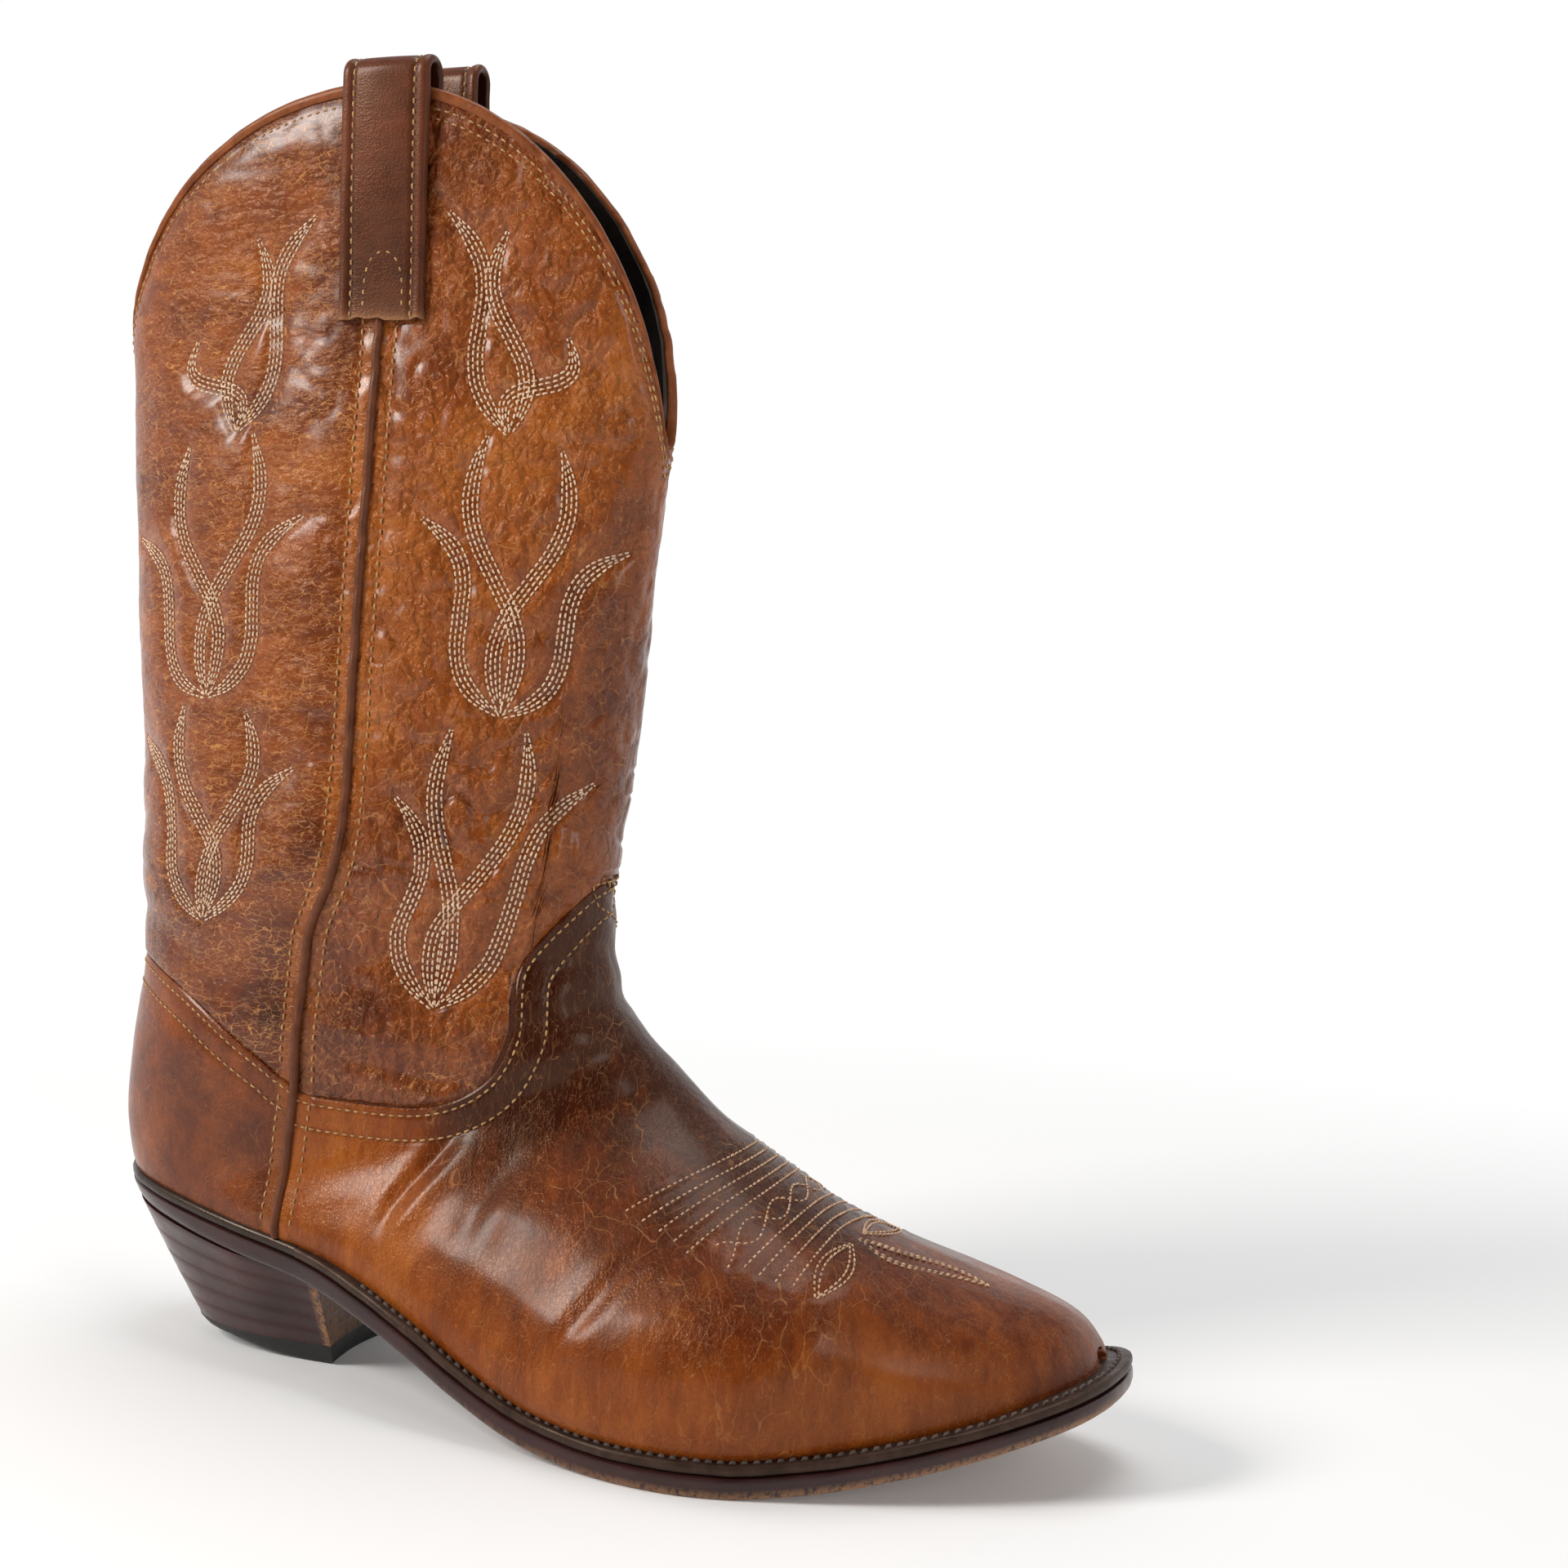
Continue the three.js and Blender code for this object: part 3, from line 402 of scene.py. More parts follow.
def border(rows, columns):
    """Places round the edge of a grid, in order."""
    top = [(0, j) for j in range(columns)]
    right = [(i, columns - 1) for i in range(1, rows)]
    bottom = [(rows - 1, j) for j in range(columns - 2, -1, -1)]
    left = [(i, 0) for i in range(rows - 2, 0, -1)]
    return top + right + bottom + left


def shell(outer, inner, walls=(), ratio=1):
    """Closed solid between a fine outer grid and an inner grid that may be coarser.
    Walls are further loops of points round the edge, between the two faces."""
    rows, columns = outer.shape[:2]
    inner = inner[::ratio, ::ratio]
    inner_rows, inner_columns = inner.shape[:2]
    vertices = [outer.reshape(-1, 3)]
    faces = []
    for i in range(rows - 1):
        a = i * columns
        faces += [[a + j, a + j + 1, a + j + columns + 1, a + j + columns] for j in range(columns - 1)]
    loop = [i * columns + j for i, j in border(rows, columns)]
    count = rows * columns
    for wall in walls:
        new = list(range(count, count + len(wall)))
        vertices.append(wall)
        count += len(wall)
        faces += [[loop[k], new[k], new[(k + 1) % len(new)], loop[(k + 1) % len(new)]]
                  for k in range(len(new))]
        loop = new
    vertices.append(inner.reshape(-1, 3))
    for i in range(inner_rows - 1):
        a = count + i * inner_columns
        faces += [[a + j, a + j + inner_columns, a + j + inner_columns + 1, a + j + 1]
                  for j in range(inner_columns - 1)]
    last = [count + i * inner_columns + j for i, j in border(inner_rows, inner_columns)]
    for k in range(len(last)):
        fine = [loop[(k * ratio + m) % len(loop)] for m in range(ratio, -1, -1)]
        faces.append(fine + [last[k], last[(k + 1) % len(last)]])
    return np.concatenate(vertices), faces


def edge_points(grid):
    return np.array([grid[i, j] for i, j in border(*grid.shape[:2])])


def sweep(rings):
    """Closed solid along a row of closed rings of points, capped at both ends."""
    rings = np.asarray(rings, float)
    count, size = rings.shape[:2]
    faces = []
    for i in range(count - 1):
        for j in range(size):
            k = (j + 1) % size
            faces.append([i * size + j, i * size + k, (i + 1) * size + k, (i + 1) * size + j])
    faces.append(list(range(size - 1, -1, -1)))
    faces.append([(count - 1) * size + j for j in range(size)])
    return rings.reshape(-1, 3), faces


def tube(name, line, radius, sides=10):
    """Round cord along a line of points."""
    line = np.asarray(line, float)
    tangent = np.gradient(line, axis=0)
    tangent /= np.linalg.norm(tangent, axis=1, keepdims=True)
    aside = np.cross(tangent, [0.0, 1.0, 0.0])
    aside /= np.linalg.norm(aside, axis=1, keepdims=True)
    up = np.cross(aside, tangent)
    angles = np.linspace(0, 2 * math.pi, sides, endpoint=False)
    rings = (line[:, None] + radius * (np.cos(angles)[None, :, None] * aside[:, None]
                                       + np.sin(angles)[None, :, None] * up[:, None]))
    return add_mesh(name, *sweep(rings))


STITCH_ALONG = np.array([0, 0.25, 0.75, 1])
STITCH_SWELL = np.array([0.45, 0.95, 0.95, 0.45])
STITCH_RISE = np.array([-0.28, 0.1, 0.1, -0.28])
STITCH_SIDES = 5


def stitches(name, starts, ends, normals, material, radius=THREAD_RADIUS):
    """Short arched lengths of thread, each sunk into the leather at both ends."""
    run = ends - starts
    along = run / (np.linalg.norm(run, axis=1, keepdims=True) + 1e-9)
    aside = np.cross(normals, along)
    centre = starts[:, None] + run[:, None] * STITCH_ALONG[None, :, None]
    centre = centre + normals[:, None] * (STITCH_RISE * radius / THREAD_RADIUS)[None, :, None]
    angles = np.linspace(0, 2 * math.pi, STITCH_SIDES, endpoint=False)
    swell = radius * STITCH_SWELL[None, :, None, None]
    rings = centre[:, :, None] + swell * (
        np.cos(angles)[None, None, :, None] * aside[:, None, None]
        + np.sin(angles)[None, None, :, None] * normals[:, None, None])
    sections = len(STITCH_ALONG)
    size = sections * STITCH_SIDES
    pattern = []
    for i in range(sections - 1):
        for j in range(STITCH_SIDES):
            k = (j + 1) % STITCH_SIDES
            a, b = i * STITCH_SIDES, (i + 1) * STITCH_SIDES
            pattern.append([a + j, a + k, b + k, b + j])
    caps = [list(range(STITCH_SIDES - 1, -1, -1)), list(range(size - STITCH_SIDES, size))]
    faces = []
    for n in range(len(starts)):
        faces += [[v + n * size for v in face] for face in pattern + caps]
    obj = add_mesh(name, rings.reshape(-1, 3), faces, sharp_angle=None)
    finish_piece(obj, material, "cognac_leather")
    return obj


def stitch_row(line_t, line_turn, height, pitch=3.0, fill=0.72):
    """Starts, ends and normals of stitches along a line of (t, turn) places."""
    points = surface(line_t, line_turn, height)
    steps = np.linalg.norm(np.diff(points, axis=0), axis=1)
    run = np.concatenate([[0], np.cumsum(steps)])
    count = max(1, int(run[-1] / pitch))
    starts = (np.arange(count) + 0.5 - fill / 2) * run[-1] / count
    ends = starts + fill * run[-1] / count

    def at(places):
        t = np.interp(places, run, line_t)
        turn = np.interp(places, run, line_turn)
        h = np.interp(places, run, height) if np.ndim(height) else height
        return surface(t, turn, h), normal(t, turn)
    a, n = at(starts)
    b, _ = at(ends)
    return a, b, n


def joined(rows):
    return [np.concatenate(part) for part in zip(*rows)]


# ---- folds of the worn leather -------------------------------------------------------------

# Creases as [from (x, z), to (x, z), depth, half width], seen from the side.
CREASES = [
    ((150, 130), (118, 121), 0.6, 4.5),
    ((152, 115), (124, 106), 0.5, 4.0),
    ((158, 103), (130, 86), 0.8, 4.5),
    ((150, 146), (122, 152), 0.5, 4.5),
    ((153, 163), (120, 170), 0.5, 5.5),
    ((116, 77), (101, 52), 0.7, 2.6),
    ((125, 76), (108, 54), -0.6, 4.0),
    ((136, 74), (126, 52), 0.5, 4.0),
    ((124, 47), (186, 30), -0.25, 5.0),
    ((136, 57), (176, 46), 0.2, 7.0),
    ((164, 34), (182, 60), 0.45, 2.6),
    ((178, 48), (207, 46), 0.3, 4.5),
    ((223, 38), (232, 56), 0.35, 3.0),
    ((212, 30), (218, 46), 0.2, 3.0),
    ((-8, 132), (30, 122), 0.6, 4.5),
    ((-10, 158), (34, 149), 0.5, 5.5),
    ((80, 96), (118, 93), 0.7, 3.5),
]


def folds(points):
    """Offset along the normal for the slouch of the shaft and the flexing of the foot."""
    x, z = points[..., 0], points[..., 2]
    shaft = smooth(z, 90, 150)
    height = 0.9 * shaft * noise(points * [1, 1, 1.3], 46, 3)
    height += 0.3 * shaft * noise(points * [1, 1, 1.6], 19, 5)
    height += 0.1 * shaft * noise(points * [1, 1, 1.3], 5.5, 6)
    ankle = np.exp(-((z - 120) / 42) ** 2) * smooth(x, 82, 128)
    height += 0.18 * ankle * noise(points * [0.7, 0.6, 1.9], 13, 8)
    forefoot = smooth(x, 100, 150) * (1 - smooth(x, 236, 266)) * (1 - smooth(z, 80, 110))
    height += 0.35 * forefoot * noise(points, 32, 11)
    crumple = np.exp(-((x - 116) / 19) ** 2 - ((z - 171) / 24) ** 2)
    height += 4.2 * crumple * (np.minimum(np.abs(noise(points, 8, 13)), 0.4) - 0.15)
    wrinkle = np.minimum(np.abs(noise(points * [1, 1, 1.25], 9, 14)), 0.35) - 0.15
    height += (0.5 + 1.2 * smooth(x, 55, 75)) * shaft * wrinkle
    for start, end, depth, wide in CREASES:
        a, b = np.array(start, float), np.array(end, float)
        q = np.stack([x, z], -1) - a
        run = b - a
        length = np.linalg.norm(run)
        along = (q @ run) / length ** 2
        across = (q @ np.array([-run[1], run[0]])) / length
        across = across + 1.6 * noise(points, 17, 21)
        fade = smooth(along, -0.25, 0.2) * (1 - smooth(along, 0.75, 1.25))
        valley = np.exp(-(across / wide) ** 2)
        shoulder = np.exp(-((np.abs(across) - 1.9 * wide) / wide) ** 2)
        height -= depth * fade * (valley - 0.4 * shoulder)
    return height


def surface(t, turn, offset):
    """Worn surface: the body with its folds, moved out by an offset."""
    points = body(t, turn)
    n = normal(t, turn)
    return points + n * (folds(points) + offset)[..., None]


# ---- decorative bands ----------------------------------------------------------------------


def leaf(root, across, level, bow):
    """A leaf of the drawing: an S-shaped line from the root of its fan to its tip."""
    share = np.linspace(0, 1, LEAF_POINTS)[:, None]
    root = np.array(root, float)
    way = np.array((across, level), float) - root
    side = np.array((way[1], -way[0])) / np.hypot(*way)
    return root + share * way + np.sin(2 * np.pi * share) * bow * side


def band_lines(half):
    """Centre line and half width of every band on one half panel, in panel millimetres."""
    lines = []
    for points in [leaf(root, *tip) for root, tips in FANS for tip in tips]:
        line = spline(points, 0.5)
        line[:, 0] *= DRAWN_WIDTH[half] / DRAWN_WIDTH["front"]
        if half == "back":
            low = (BACK_LIFT_FROM - line[:, 1]) / (BACK_LIFT_FROM - BACK_LIFT_TO)
            line[:, 1] += BACK_LIFT * np.maximum(low, 0)
        run = np.arange(len(line)) * 0.5
        taper = np.minimum(smooth(run, -3, BAND_TAPER), smooth(run[-1] - run, -3, BAND_TAPER))
        lines.append((line, 0.12 + 0.88 * taper))
    return lines


BAND_HALF_WIDTH = (ROWS_PER_BAND - 1) / 2 * ROW_SPACING + 0.5


def nearest(places, across, z):
    """Distance from each panel point to the nearest of some places, and which one that is."""
    tree = kdtree.KDTree(len(places))
    for i, (x, y) in enumerate(places.tolist()):
        tree.insert((x, y, 0), i)
    tree.balance()
    found = [tree.find((x, y, 0)) for x, y in zip(across.ravel().tolist(), z.ravel().tolist())]
    return np.array([f[2] for f in found]), np.array([f[1] for f in found])


def band_distance(half, across, z):
    """Distance to the edge of the nearest band, negative inside it."""
    centres, widths, edges = [], [], []
    for line, taper in band_lines(half):
        width = taper * BAND_HALF_WIDTH
        tangent = np.gradient(line, axis=0)
        tangent /= np.linalg.norm(tangent, axis=1, keepdims=True)
        aside = np.stack([-tangent[:, 1], tangent[:, 0]], 1) * width[:, None]
        centres.append(line)
        widths.append(width)
        edges += [line + aside, line - aside]
    to_centre, index = nearest(np.concatenate(centres), across, z)
    to_edge, _ = nearest(np.concatenate(edges), across, z)
    inside = to_centre < np.concatenate(widths)[index]
    return np.where(inside, -to_edge, to_edge).reshape(across.shape)


PUFF_HEIGHT = 1.1
PUFF_SPREAD = 4.5
GROOVE_DEPTH = 0.25
UNDERLAP = 9


def covered(half, points):
    """How far a shaft point lies past the edge of the vamp or counter, negative if not."""
    x, z = points[..., 0], points[..., 2]
    line = np.array(VAMP_EDGE if half == "front" else COUNTER_EDGE, float)
    fine = spline(line, 0.5)
    tree = kdtree.KDTree(len(fine))
    for i, (a, b) in enumerate(fine.tolist()):
        tree.insert((a, b, 0), i)
    tree.balance()
    found = [tree.find((a, b, 0))[2] for a, b in zip(x.ravel().tolist(), z.ravel().tolist())]
    if half == "front":
        upright = fine[fine[:, 1].argmin():]
        past = (z < 84) | ((x > np.interp(z, upright[:, 1], upright[:, 0])) & (z < 150))
        past |= x > 147
        past &= z < 151
    else:
        past = z < np.interp(x, fine[::-1, 0], fine[::-1, 1])
    return np.where(past, 1, -1) * np.reshape(found, x.shape)


def panel_relief(half, side, t, share):
    """Height of a shaft panel over the body surface, and how deep inside the stitched bands it is."""
    turn = turn_at(half, side, t, share)
    points = body(t, turn)
    from_seam = share * half_width(half, side, t)
    below_top = top_z(turn) - points[..., 2]
    bands = band_distance(half, share * DRAWN_WIDTH[half], points[..., 2])
    strip = from_seam - SEAM_ROW
    rim = below_top - TOP_ROWS[half][-1]
    nearest = np.minimum(np.minimum(bands, np.maximum(strip, 0)), np.maximum(rim, 0))
    puff = PUFF_HEIGHT * (1 - np.exp(-np.maximum(nearest, 0) / PUFF_SPREAD))
    middle = smooth(share, 0.84, 1.0)
    puff = puff * (1 - middle) + 0.7 * PUFF_HEIGHT * middle
    groove = GROOVE_DEPTH * (np.exp(-(np.maximum(bands, 0) / 0.8) ** 2)
                             + np.exp(-(strip / 0.9) ** 2))
    gather = np.exp(-np.maximum(rim, 0) / 9) * smooth(below_top, 1, 4)
    ripple = GATHER_HEIGHT[half] * gather * noise(points * [1, 1, 0.45], 5.5, 31)
    past = covered(half, points)
    free = 1 - smooth(past, -2, 0.5)
    relief = (puff - groove + ripple) * free - 0.35 * smooth(past, 0, 1.5)
    return relief, bands, strip, below_top


# ---- shaft ---------------------------------------------------------------------------------

GATHER_HEIGHT = {"front": 0.5, "back": 0.12}
PANEL_ROWS = 320
PANEL_COLUMNS = 216
PANEL_BACK = -1.8
PANEL_TOP_DROP = 1.2
PIPING_GAP = 1.0


def panel_end(half, side, share):
    """Section at which a shaft panel ends, some way under the vamp or counter."""
    edge_t, edge_turn = edge_run(VAMP_EDGE if half == "front" else COUNTER_EDGE, side)
    shares = np.linspace(0, 1, 200)
    z = np.array([body(t, turn)[2] for t, turn in zip(edge_t, edge_turn)])
    reach = np.array([np.interp(abs(turn), *inverse_ring(half, side, t))
                      for t, turn in zip(edge_t, edge_turn)])
    order = np.argsort(reach)
    height = np.interp(shares, reach[order], z[order])
    spread = 10
    padded = np.pad(height, spread, mode="edge")
    height = np.min([padded[k:k + len(shares)] for k in range(2 * spread + 1)], axis=0)
    level = np.interp(share, shares, height) - UNDERLAP
    return place(half, side, share, level)[0]


def inverse_ring(half, side, t):
    """Rising turn angles of a ring and the shares that belong to them."""
    turns = np.abs(turn_at(half, side, 0 * TABLE_SHARES + t, TABLE_SHARES))
    if turns[0] > turns[-1]:
        return turns[::-1], TABLE_SHARES[::-1]
    return turns, TABLE_SHARES


def panel_grid(half, rows, columns, drop, seam_gap):
    """(t, share, side) over a whole panel, from one side seam across the middle to the other."""
    across = np.linspace(-1, 1, columns + 1)
    down = np.linspace(0, 1, rows + 1)[:, None]
    t = np.zeros((rows + 1, columns + 1))
    share = np.zeros_like(t)
    sides = np.where(across < 0, 1, -1)
    for side in (1, -1):
        mine = sides == side
        towards = 1 - np.abs(across[mine])
        width = half_width(half, side, 0.5)
        level = (seam_gap + towards * (width - seam_gap)) / width
        top = bisect(0 * level, 0 * level + 4.5, lambda v: (
            body(v, turn_at(half, side, v, level))[..., 2]
            > top_z(turn_at(half, side, v, level)) - drop))
        end = panel_end(half, side, level)
        t[:, mine] = top + (end - top) * down
        share[:, mine] = level
    return t, share, sides


def by_side(values, sides, function):
    out = None
    for side in (1, -1):
        mine = sides == side
        part = function(side, *[v[:, mine] for v in values])
        part = part if isinstance(part, tuple) else (part,)
        if out is None:
            out = [np.zeros((values[0].shape[0], len(sides)) + p.shape[2:]) for p in part]
        for whole, p in zip(out, part):
            whole[:, mine] = p
    return out


def shaft_panel(half, material, slot):
    t, share, sides = panel_grid(half, PANEL_ROWS, PANEL_COLUMNS, PANEL_TOP_DROP, PIPING_GAP)
    turn, = by_side((t, share), sides, lambda side, a, b: turn_at(half, side, a, b))
    relief, bands, strip, below_top = by_side(
        (t, share), sides, lambda side, a, b: panel_relief(half, side, a, b))
    outer = surface(t, turn, relief)
    inner = surface(t, turn, 0 * relief + PANEL_BACK)
    wall = edge_points(surface(t, turn, relief * 0.5 - 0.6))
    vertices, faces = shell(outer, inner, [wall], ratio=8)
    obj = add_mesh(f"shaft_{half}_leather", vertices, faces)
    # Mask of the sunk stitched bands: the material paints shade into them and makes them rougher.
    set_attribute(obj, "stitch_groove_shade", 1 - smooth(bands, -0.6, 0.5))
    set_attribute(obj, "strip", 1 - smooth(strip, -0.5, 1.2))
    set_attribute(obj, "rim", 1 - smooth(below_top, 2, 9))
    tone = panel_tone(half, outer)
    if half == "back":
        tone = tone - 0.12 * (1 - smooth(strip, 2, 24)) * smooth(strip, 0, 2)
    set_attribute(obj, "shading", tone)
    finish_piece(obj, material, slot, f"{half}_shaft_panel")
    return obj


def panel_tone(half, points):
    """Colour drift of the worn dye: 0 dark red brown, 1 orange tan."""
    z = points[..., 2]
    wide = noise(points, 60, 41)
    if half == "front":
        return np.clip(0.62 + 0.22 * wide - 0.12 * np.exp(-((z - 95) / 30) ** 2), 0, 1)
    return np.clip(0.56 + 0.2 * wide - 0.08 * (1 - smooth(z, 110, 150)), 0, 1)


def shaft_lining(half, material, slot):
    t, share, sides = panel_grid(half, 80, 60, 0.6, 0.4)
    turn, = by_side((t, share), sides, lambda side, a, b: turn_at(half, side, a, b))
    outer = surface(t, turn, 0 * t - 2.1)
    inner = surface(t, turn, 0 * t - 3.3)
    obj = add_mesh(f"shaft_{half}_lining_leather", *shell(inner, outer))
    finish_piece(obj, material, slot, f"{half}_shaft_lining")


BINDING_PROFILE = [(0.5, -2.2), (0.9, -1.2), (0.95, -0.2), (0.7, 0.6), (0.1, 1.05), (-0.8, 1.15),
                   (-1.6, 0.9), (-2.0, 0.3), (-2.1, -0.5), (-2.0, -1.6), (-1.6, -2.3), (-0.6, -2.3)]


def top_binding(half, material, slot):
    """Rolled edge that closes panel and lining along the top line."""
    columns = 260
    across = np.linspace(-1, 1, columns + 1)
    sides = np.where(across < 0, 1, -1)
    rings = np.zeros((columns + 1, len(BINDING_PROFILE), 3))
    for side in (1, -1):
        mine = sides == side
        level = 1 - np.abs(across[mine])
        level = (PIPING_GAP + level * (92 - PIPING_GAP)) / 92
        for k, (offset, rise) in enumerate(BINDING_PROFILE):
            t = bisect(0 * level - 0.3, 0 * level + 4.5, lambda v: (
                body(v, turn_at(half, side, v, level))[..., 2]
                > top_z(turn_at(half, side, v, level)) + rise))
            turn = turn_at(half, side, t, level)
            points = surface(t, turn, 0 * t + offset)
            wobble = 0.12 * noise(points, 5, 51)
            rings[mine, k] = points + wobble[:, None] * [0, 0, 1]
    obj = add_mesh(f"top_edge_{half}", *sweep(rings))
    finish_piece(obj, material, slot, f"top_binding_{half}")


SEAM_FOOT_X = 64.5
CORD_OVERRUN = 0.6


def side_line(side):
    """(t, turn) down one side seam."""
    low = float(seat_z(SEAM_FOOT_X)) + CORD_OVERRUN
    z = np.linspace(TOP_PEAK + CORD_OVERRUN, low, 240)
    return place("front", side, 0 * z, z)


def side_piping(side, name, material, slot):
    t, turn = side_line(side)
    z = body(t, turn)[:, 2]
    on_foot = smooth(120 - z, 0, 30)
    obj = tube(f"side_cord_{name}", surface(t, turn, 0.35 + 0.7 * on_foot), 1.35, 12)
    finish_piece(obj, material, slot, f"side_piping_{name}")


def seam_stitches(material):
    for side, name in ((1, "outer"), (-1, "inner")):
        rows = []
        for half, low in (("front", 87), ("back", 92)):
            z = np.linspace(TOP_PEAK - 4, low, 400)
            t, turn = place(half, side, 0 * z, z)
            share = SEAM_ROW / half_width(half, side, t)
            t, turn = place(half, side, share, z)
            rows.append(stitch_row(t, turn, 0.05 + 0 * t, pitch=3.1, fill=0.62))
        stitches(f"seam_stitches_{name}", *joined(rows), material, radius=0.36)


def top_stitches(material):
    for half in ("front", "back"):
        rows = []
        for side in (1, -1):
            for drop in TOP_ROWS[half]:
                level = np.linspace(0.16, 1, 300)
                t = bisect(0 * level, 0 * level + 4.5, lambda v: (
                    body(v, turn_at(half, side, v, level))[..., 2]
                    > top_z(turn_at(half, side, v, level)) - drop))
                relief = panel_relief(half, side, t, level)[0]
                rows.append(stitch_row(t, turn_at(half, side, t, level), relief + 0.05, 2.8, 0.66))
        stitches(f"top_stitches_{half}", *joined(rows), material, radius=0.34)


def band_stitches(material):
    """Every row of every band, as separate stitches."""
    rng = np.random.default_rng(7)
    pitch, length = 2.0, 1.6
    for half in ("front", "back"):
        for side, name in ((1, "outer"), (-1, "inner")):
            starts, ends = [], []
            for line, taper in band_lines(half):
                tangent = np.gradient(line, axis=0)
                tangent /= np.linalg.norm(tangent, axis=1, keepdims=True)
                aside = np.stack([-tangent[:, 1], tangent[:, 0]], 1)
                for row in range(ROWS_PER_BAND):
                    shift = (row - (ROWS_PER_BAND - 1) / 2) * ROW_SPACING
                    path = line + aside * (shift * taper)[:, None]
                    if 0 < row < ROWS_PER_BAND - 1:
                        keep = taper > 0.42
                        path = path[keep]
                    if len(path) < 8:
                        continue
                    steps = np.linalg.norm(np.diff(path, axis=0), axis=1)
                    run = np.concatenate([[0], np.cumsum(steps)])
                    count = int(run[-1] / pitch)
                    at = np.arange(count) * run[-1] / count + rng.uniform(0, 0.25, count)
                    at += rng.uniform(0, pitch - 0.3)
                    for bucket, places in ((starts, at), (ends, at + length)):
                        bucket.append(np.stack([np.interp(places, run, path[:, k]) for k in (0, 1)], 1))
            a, b = np.concatenate(starts), np.concatenate(ends)
            lift = []
            for points in (a, b):
                share = points[:, 0] / DRAWN_WIDTH[half]
                t, turn = place(half, side, share, points[:, 1])
                relief = panel_relief(half, side, t, share)[0]
                lift.append((surface(t, turn, relief + 0.1), normal(t, turn)))
            stitches(f"decor_stitches_{half}_{name}", lift[0][0], lift[1][0], lift[0][1], material)


# ---- foot ----------------------------------------------------------------------------------

FOOT_LIFT = 0.9
FOOT_BACK = -1.1
SEAT_SINK = 0.8


def seat_crossing(t, side):
    """Turn at which a ring meets the seat line."""
    def below(turn):
        p = body(t, side * turn)
        return p[..., 2] < seat_z(p[..., 0]) - SEAT_SINK
    return bisect(0 * t, 0 * t + math.pi, below)


def ridge_end():
    """Section at the toe where the top of the foot comes down to the foot of the vamp."""
    def above(t):
        p = body(t, 0 * t + math.pi)
        return p[..., 2] > seat_z(p[..., 0]) - SEAT_SINK
    return float(bisect(np.array(15.0), np.array(float(TIP)), above))


def heel_start():
    """Section at which the back of the heel meets the seat line."""
    def above(t):
        p = body(t, 0 * t)
        return p[..., 2] > seat_z(p[..., 0])
    return float(bisect(np.array(6.2), np.array(8.6), above))


def seam_foot(side):
    """Section where the side seam meets the seat line."""
    def above(t):
        p = body(t, turn_at("front", side, t, 0 * t))
        return p[..., 2] > seat_z(p[..., 0]) + 0.1
    return float(bisect(np.array(7.0), np.array(10.9), above))


def seat_run(first, last, side):
    """(t, turn) along the seat line between two sections."""
    f = np.linspace(0, 1, 400)
    t = first + (last - first) * (1 - (1 - f) ** 2)
    return t, seat_crossing(t, side)


def even(t, turn, count):
    """The line of (t, turn) places resampled at equal steps in space."""
    points = body(t, turn)
    steps = np.linalg.norm(np.diff(points, axis=0), axis=1)
    run = np.concatenate([[0], np.cumsum(steps)])
    at = np.linspace(0, run[-1], count)
    return np.interp(at, run, t), np.interp(at, run, turn)


def seam_run(side, top_height):
    """(t, turn) down a side seam, from a height to the seat line."""
    end = seam_foot(side)
    start = float(place("front", side, 0.0, float(top_height))[0])
    t = np.linspace(start, end, 200)
    return t, turn_at("front", side, t, 0 * t)


def coons(top, bottom, left, right, rows, columns):
    """(t, turn) grid blended from its four edges. Each edge is a (t, turn) pair."""
    top, bottom = np.stack(even(*top, columns + 1), 1), np.stack(even(*bottom, columns + 1), 1)
    left, right = np.stack(even(*left, rows + 1), 1), np.stack(even(*right, rows + 1), 1)
    u = np.linspace(0, 1, columns + 1)[None, :, None]
    v = np.linspace(0, 1, rows + 1)[:, None, None]
    ruled = (1 - v) * top[None] + v * bottom[None]
    sides = (1 - u) * left[:, None] + u * right[:, None]
    corners = ((1 - u) * (1 - v) * top[0] + u * (1 - v) * top[-1]
               + (1 - u) * v * bottom[0] + u * v * bottom[-1])
    grid = ruled + sides - corners
    return grid[..., 0], grid[..., 1]


def whole_turn(turn, side):
    """Turn measured one way round, so that both sides of the foot join up in front."""
    return np.where(side > 0, turn, 2 * math.pi + turn)


def vamp_edges():
    tops, bottoms, seams = [], [], []
    end = ridge_end()
    for side in (1, -1):
        t, turn = edge_run(VAMP_EDGE, side)
        tops.append((t, whole_turn(turn, side)))
        t, turn = seat_run(seam_foot(side), end, side)
        bottoms.append((t, whole_turn(side * turn, side)))
        t, turn = seam_run(side, VAMP_EDGE[0][1])
        seams.append((t, whole_turn(turn, side)))
    top = [np.concatenate([tops[0][k], tops[1][k][::-1][1:]]) for k in (0, 1)]
    bottom = [np.concatenate([bottoms[0][k], bottoms[1][k][::-1][1:]]) for k in (0, 1)]
    return top, bottom, seams[0], seams[1]


def counter_edges():
    tops, bottoms, seams = [], [], []
    start = heel_start()
    for side in (1, -1):
        tops.append(edge_run(COUNTER_EDGE, side))
        t, turn = seat_run(seam_foot(side), start, side)
        bottoms.append((t, side * turn))
        seams.append(seam_run(side, COUNTER_EDGE[0][1]))
    top = [np.concatenate([tops[0][k], tops[1][k][::-1][1:]]) for k in (0, 1)]
    bottom = [np.concatenate([bottoms[0][k], bottoms[1][k][::-1][1:]]) for k in (0, 1)]
    return top, bottom, seams[0], seams[1]


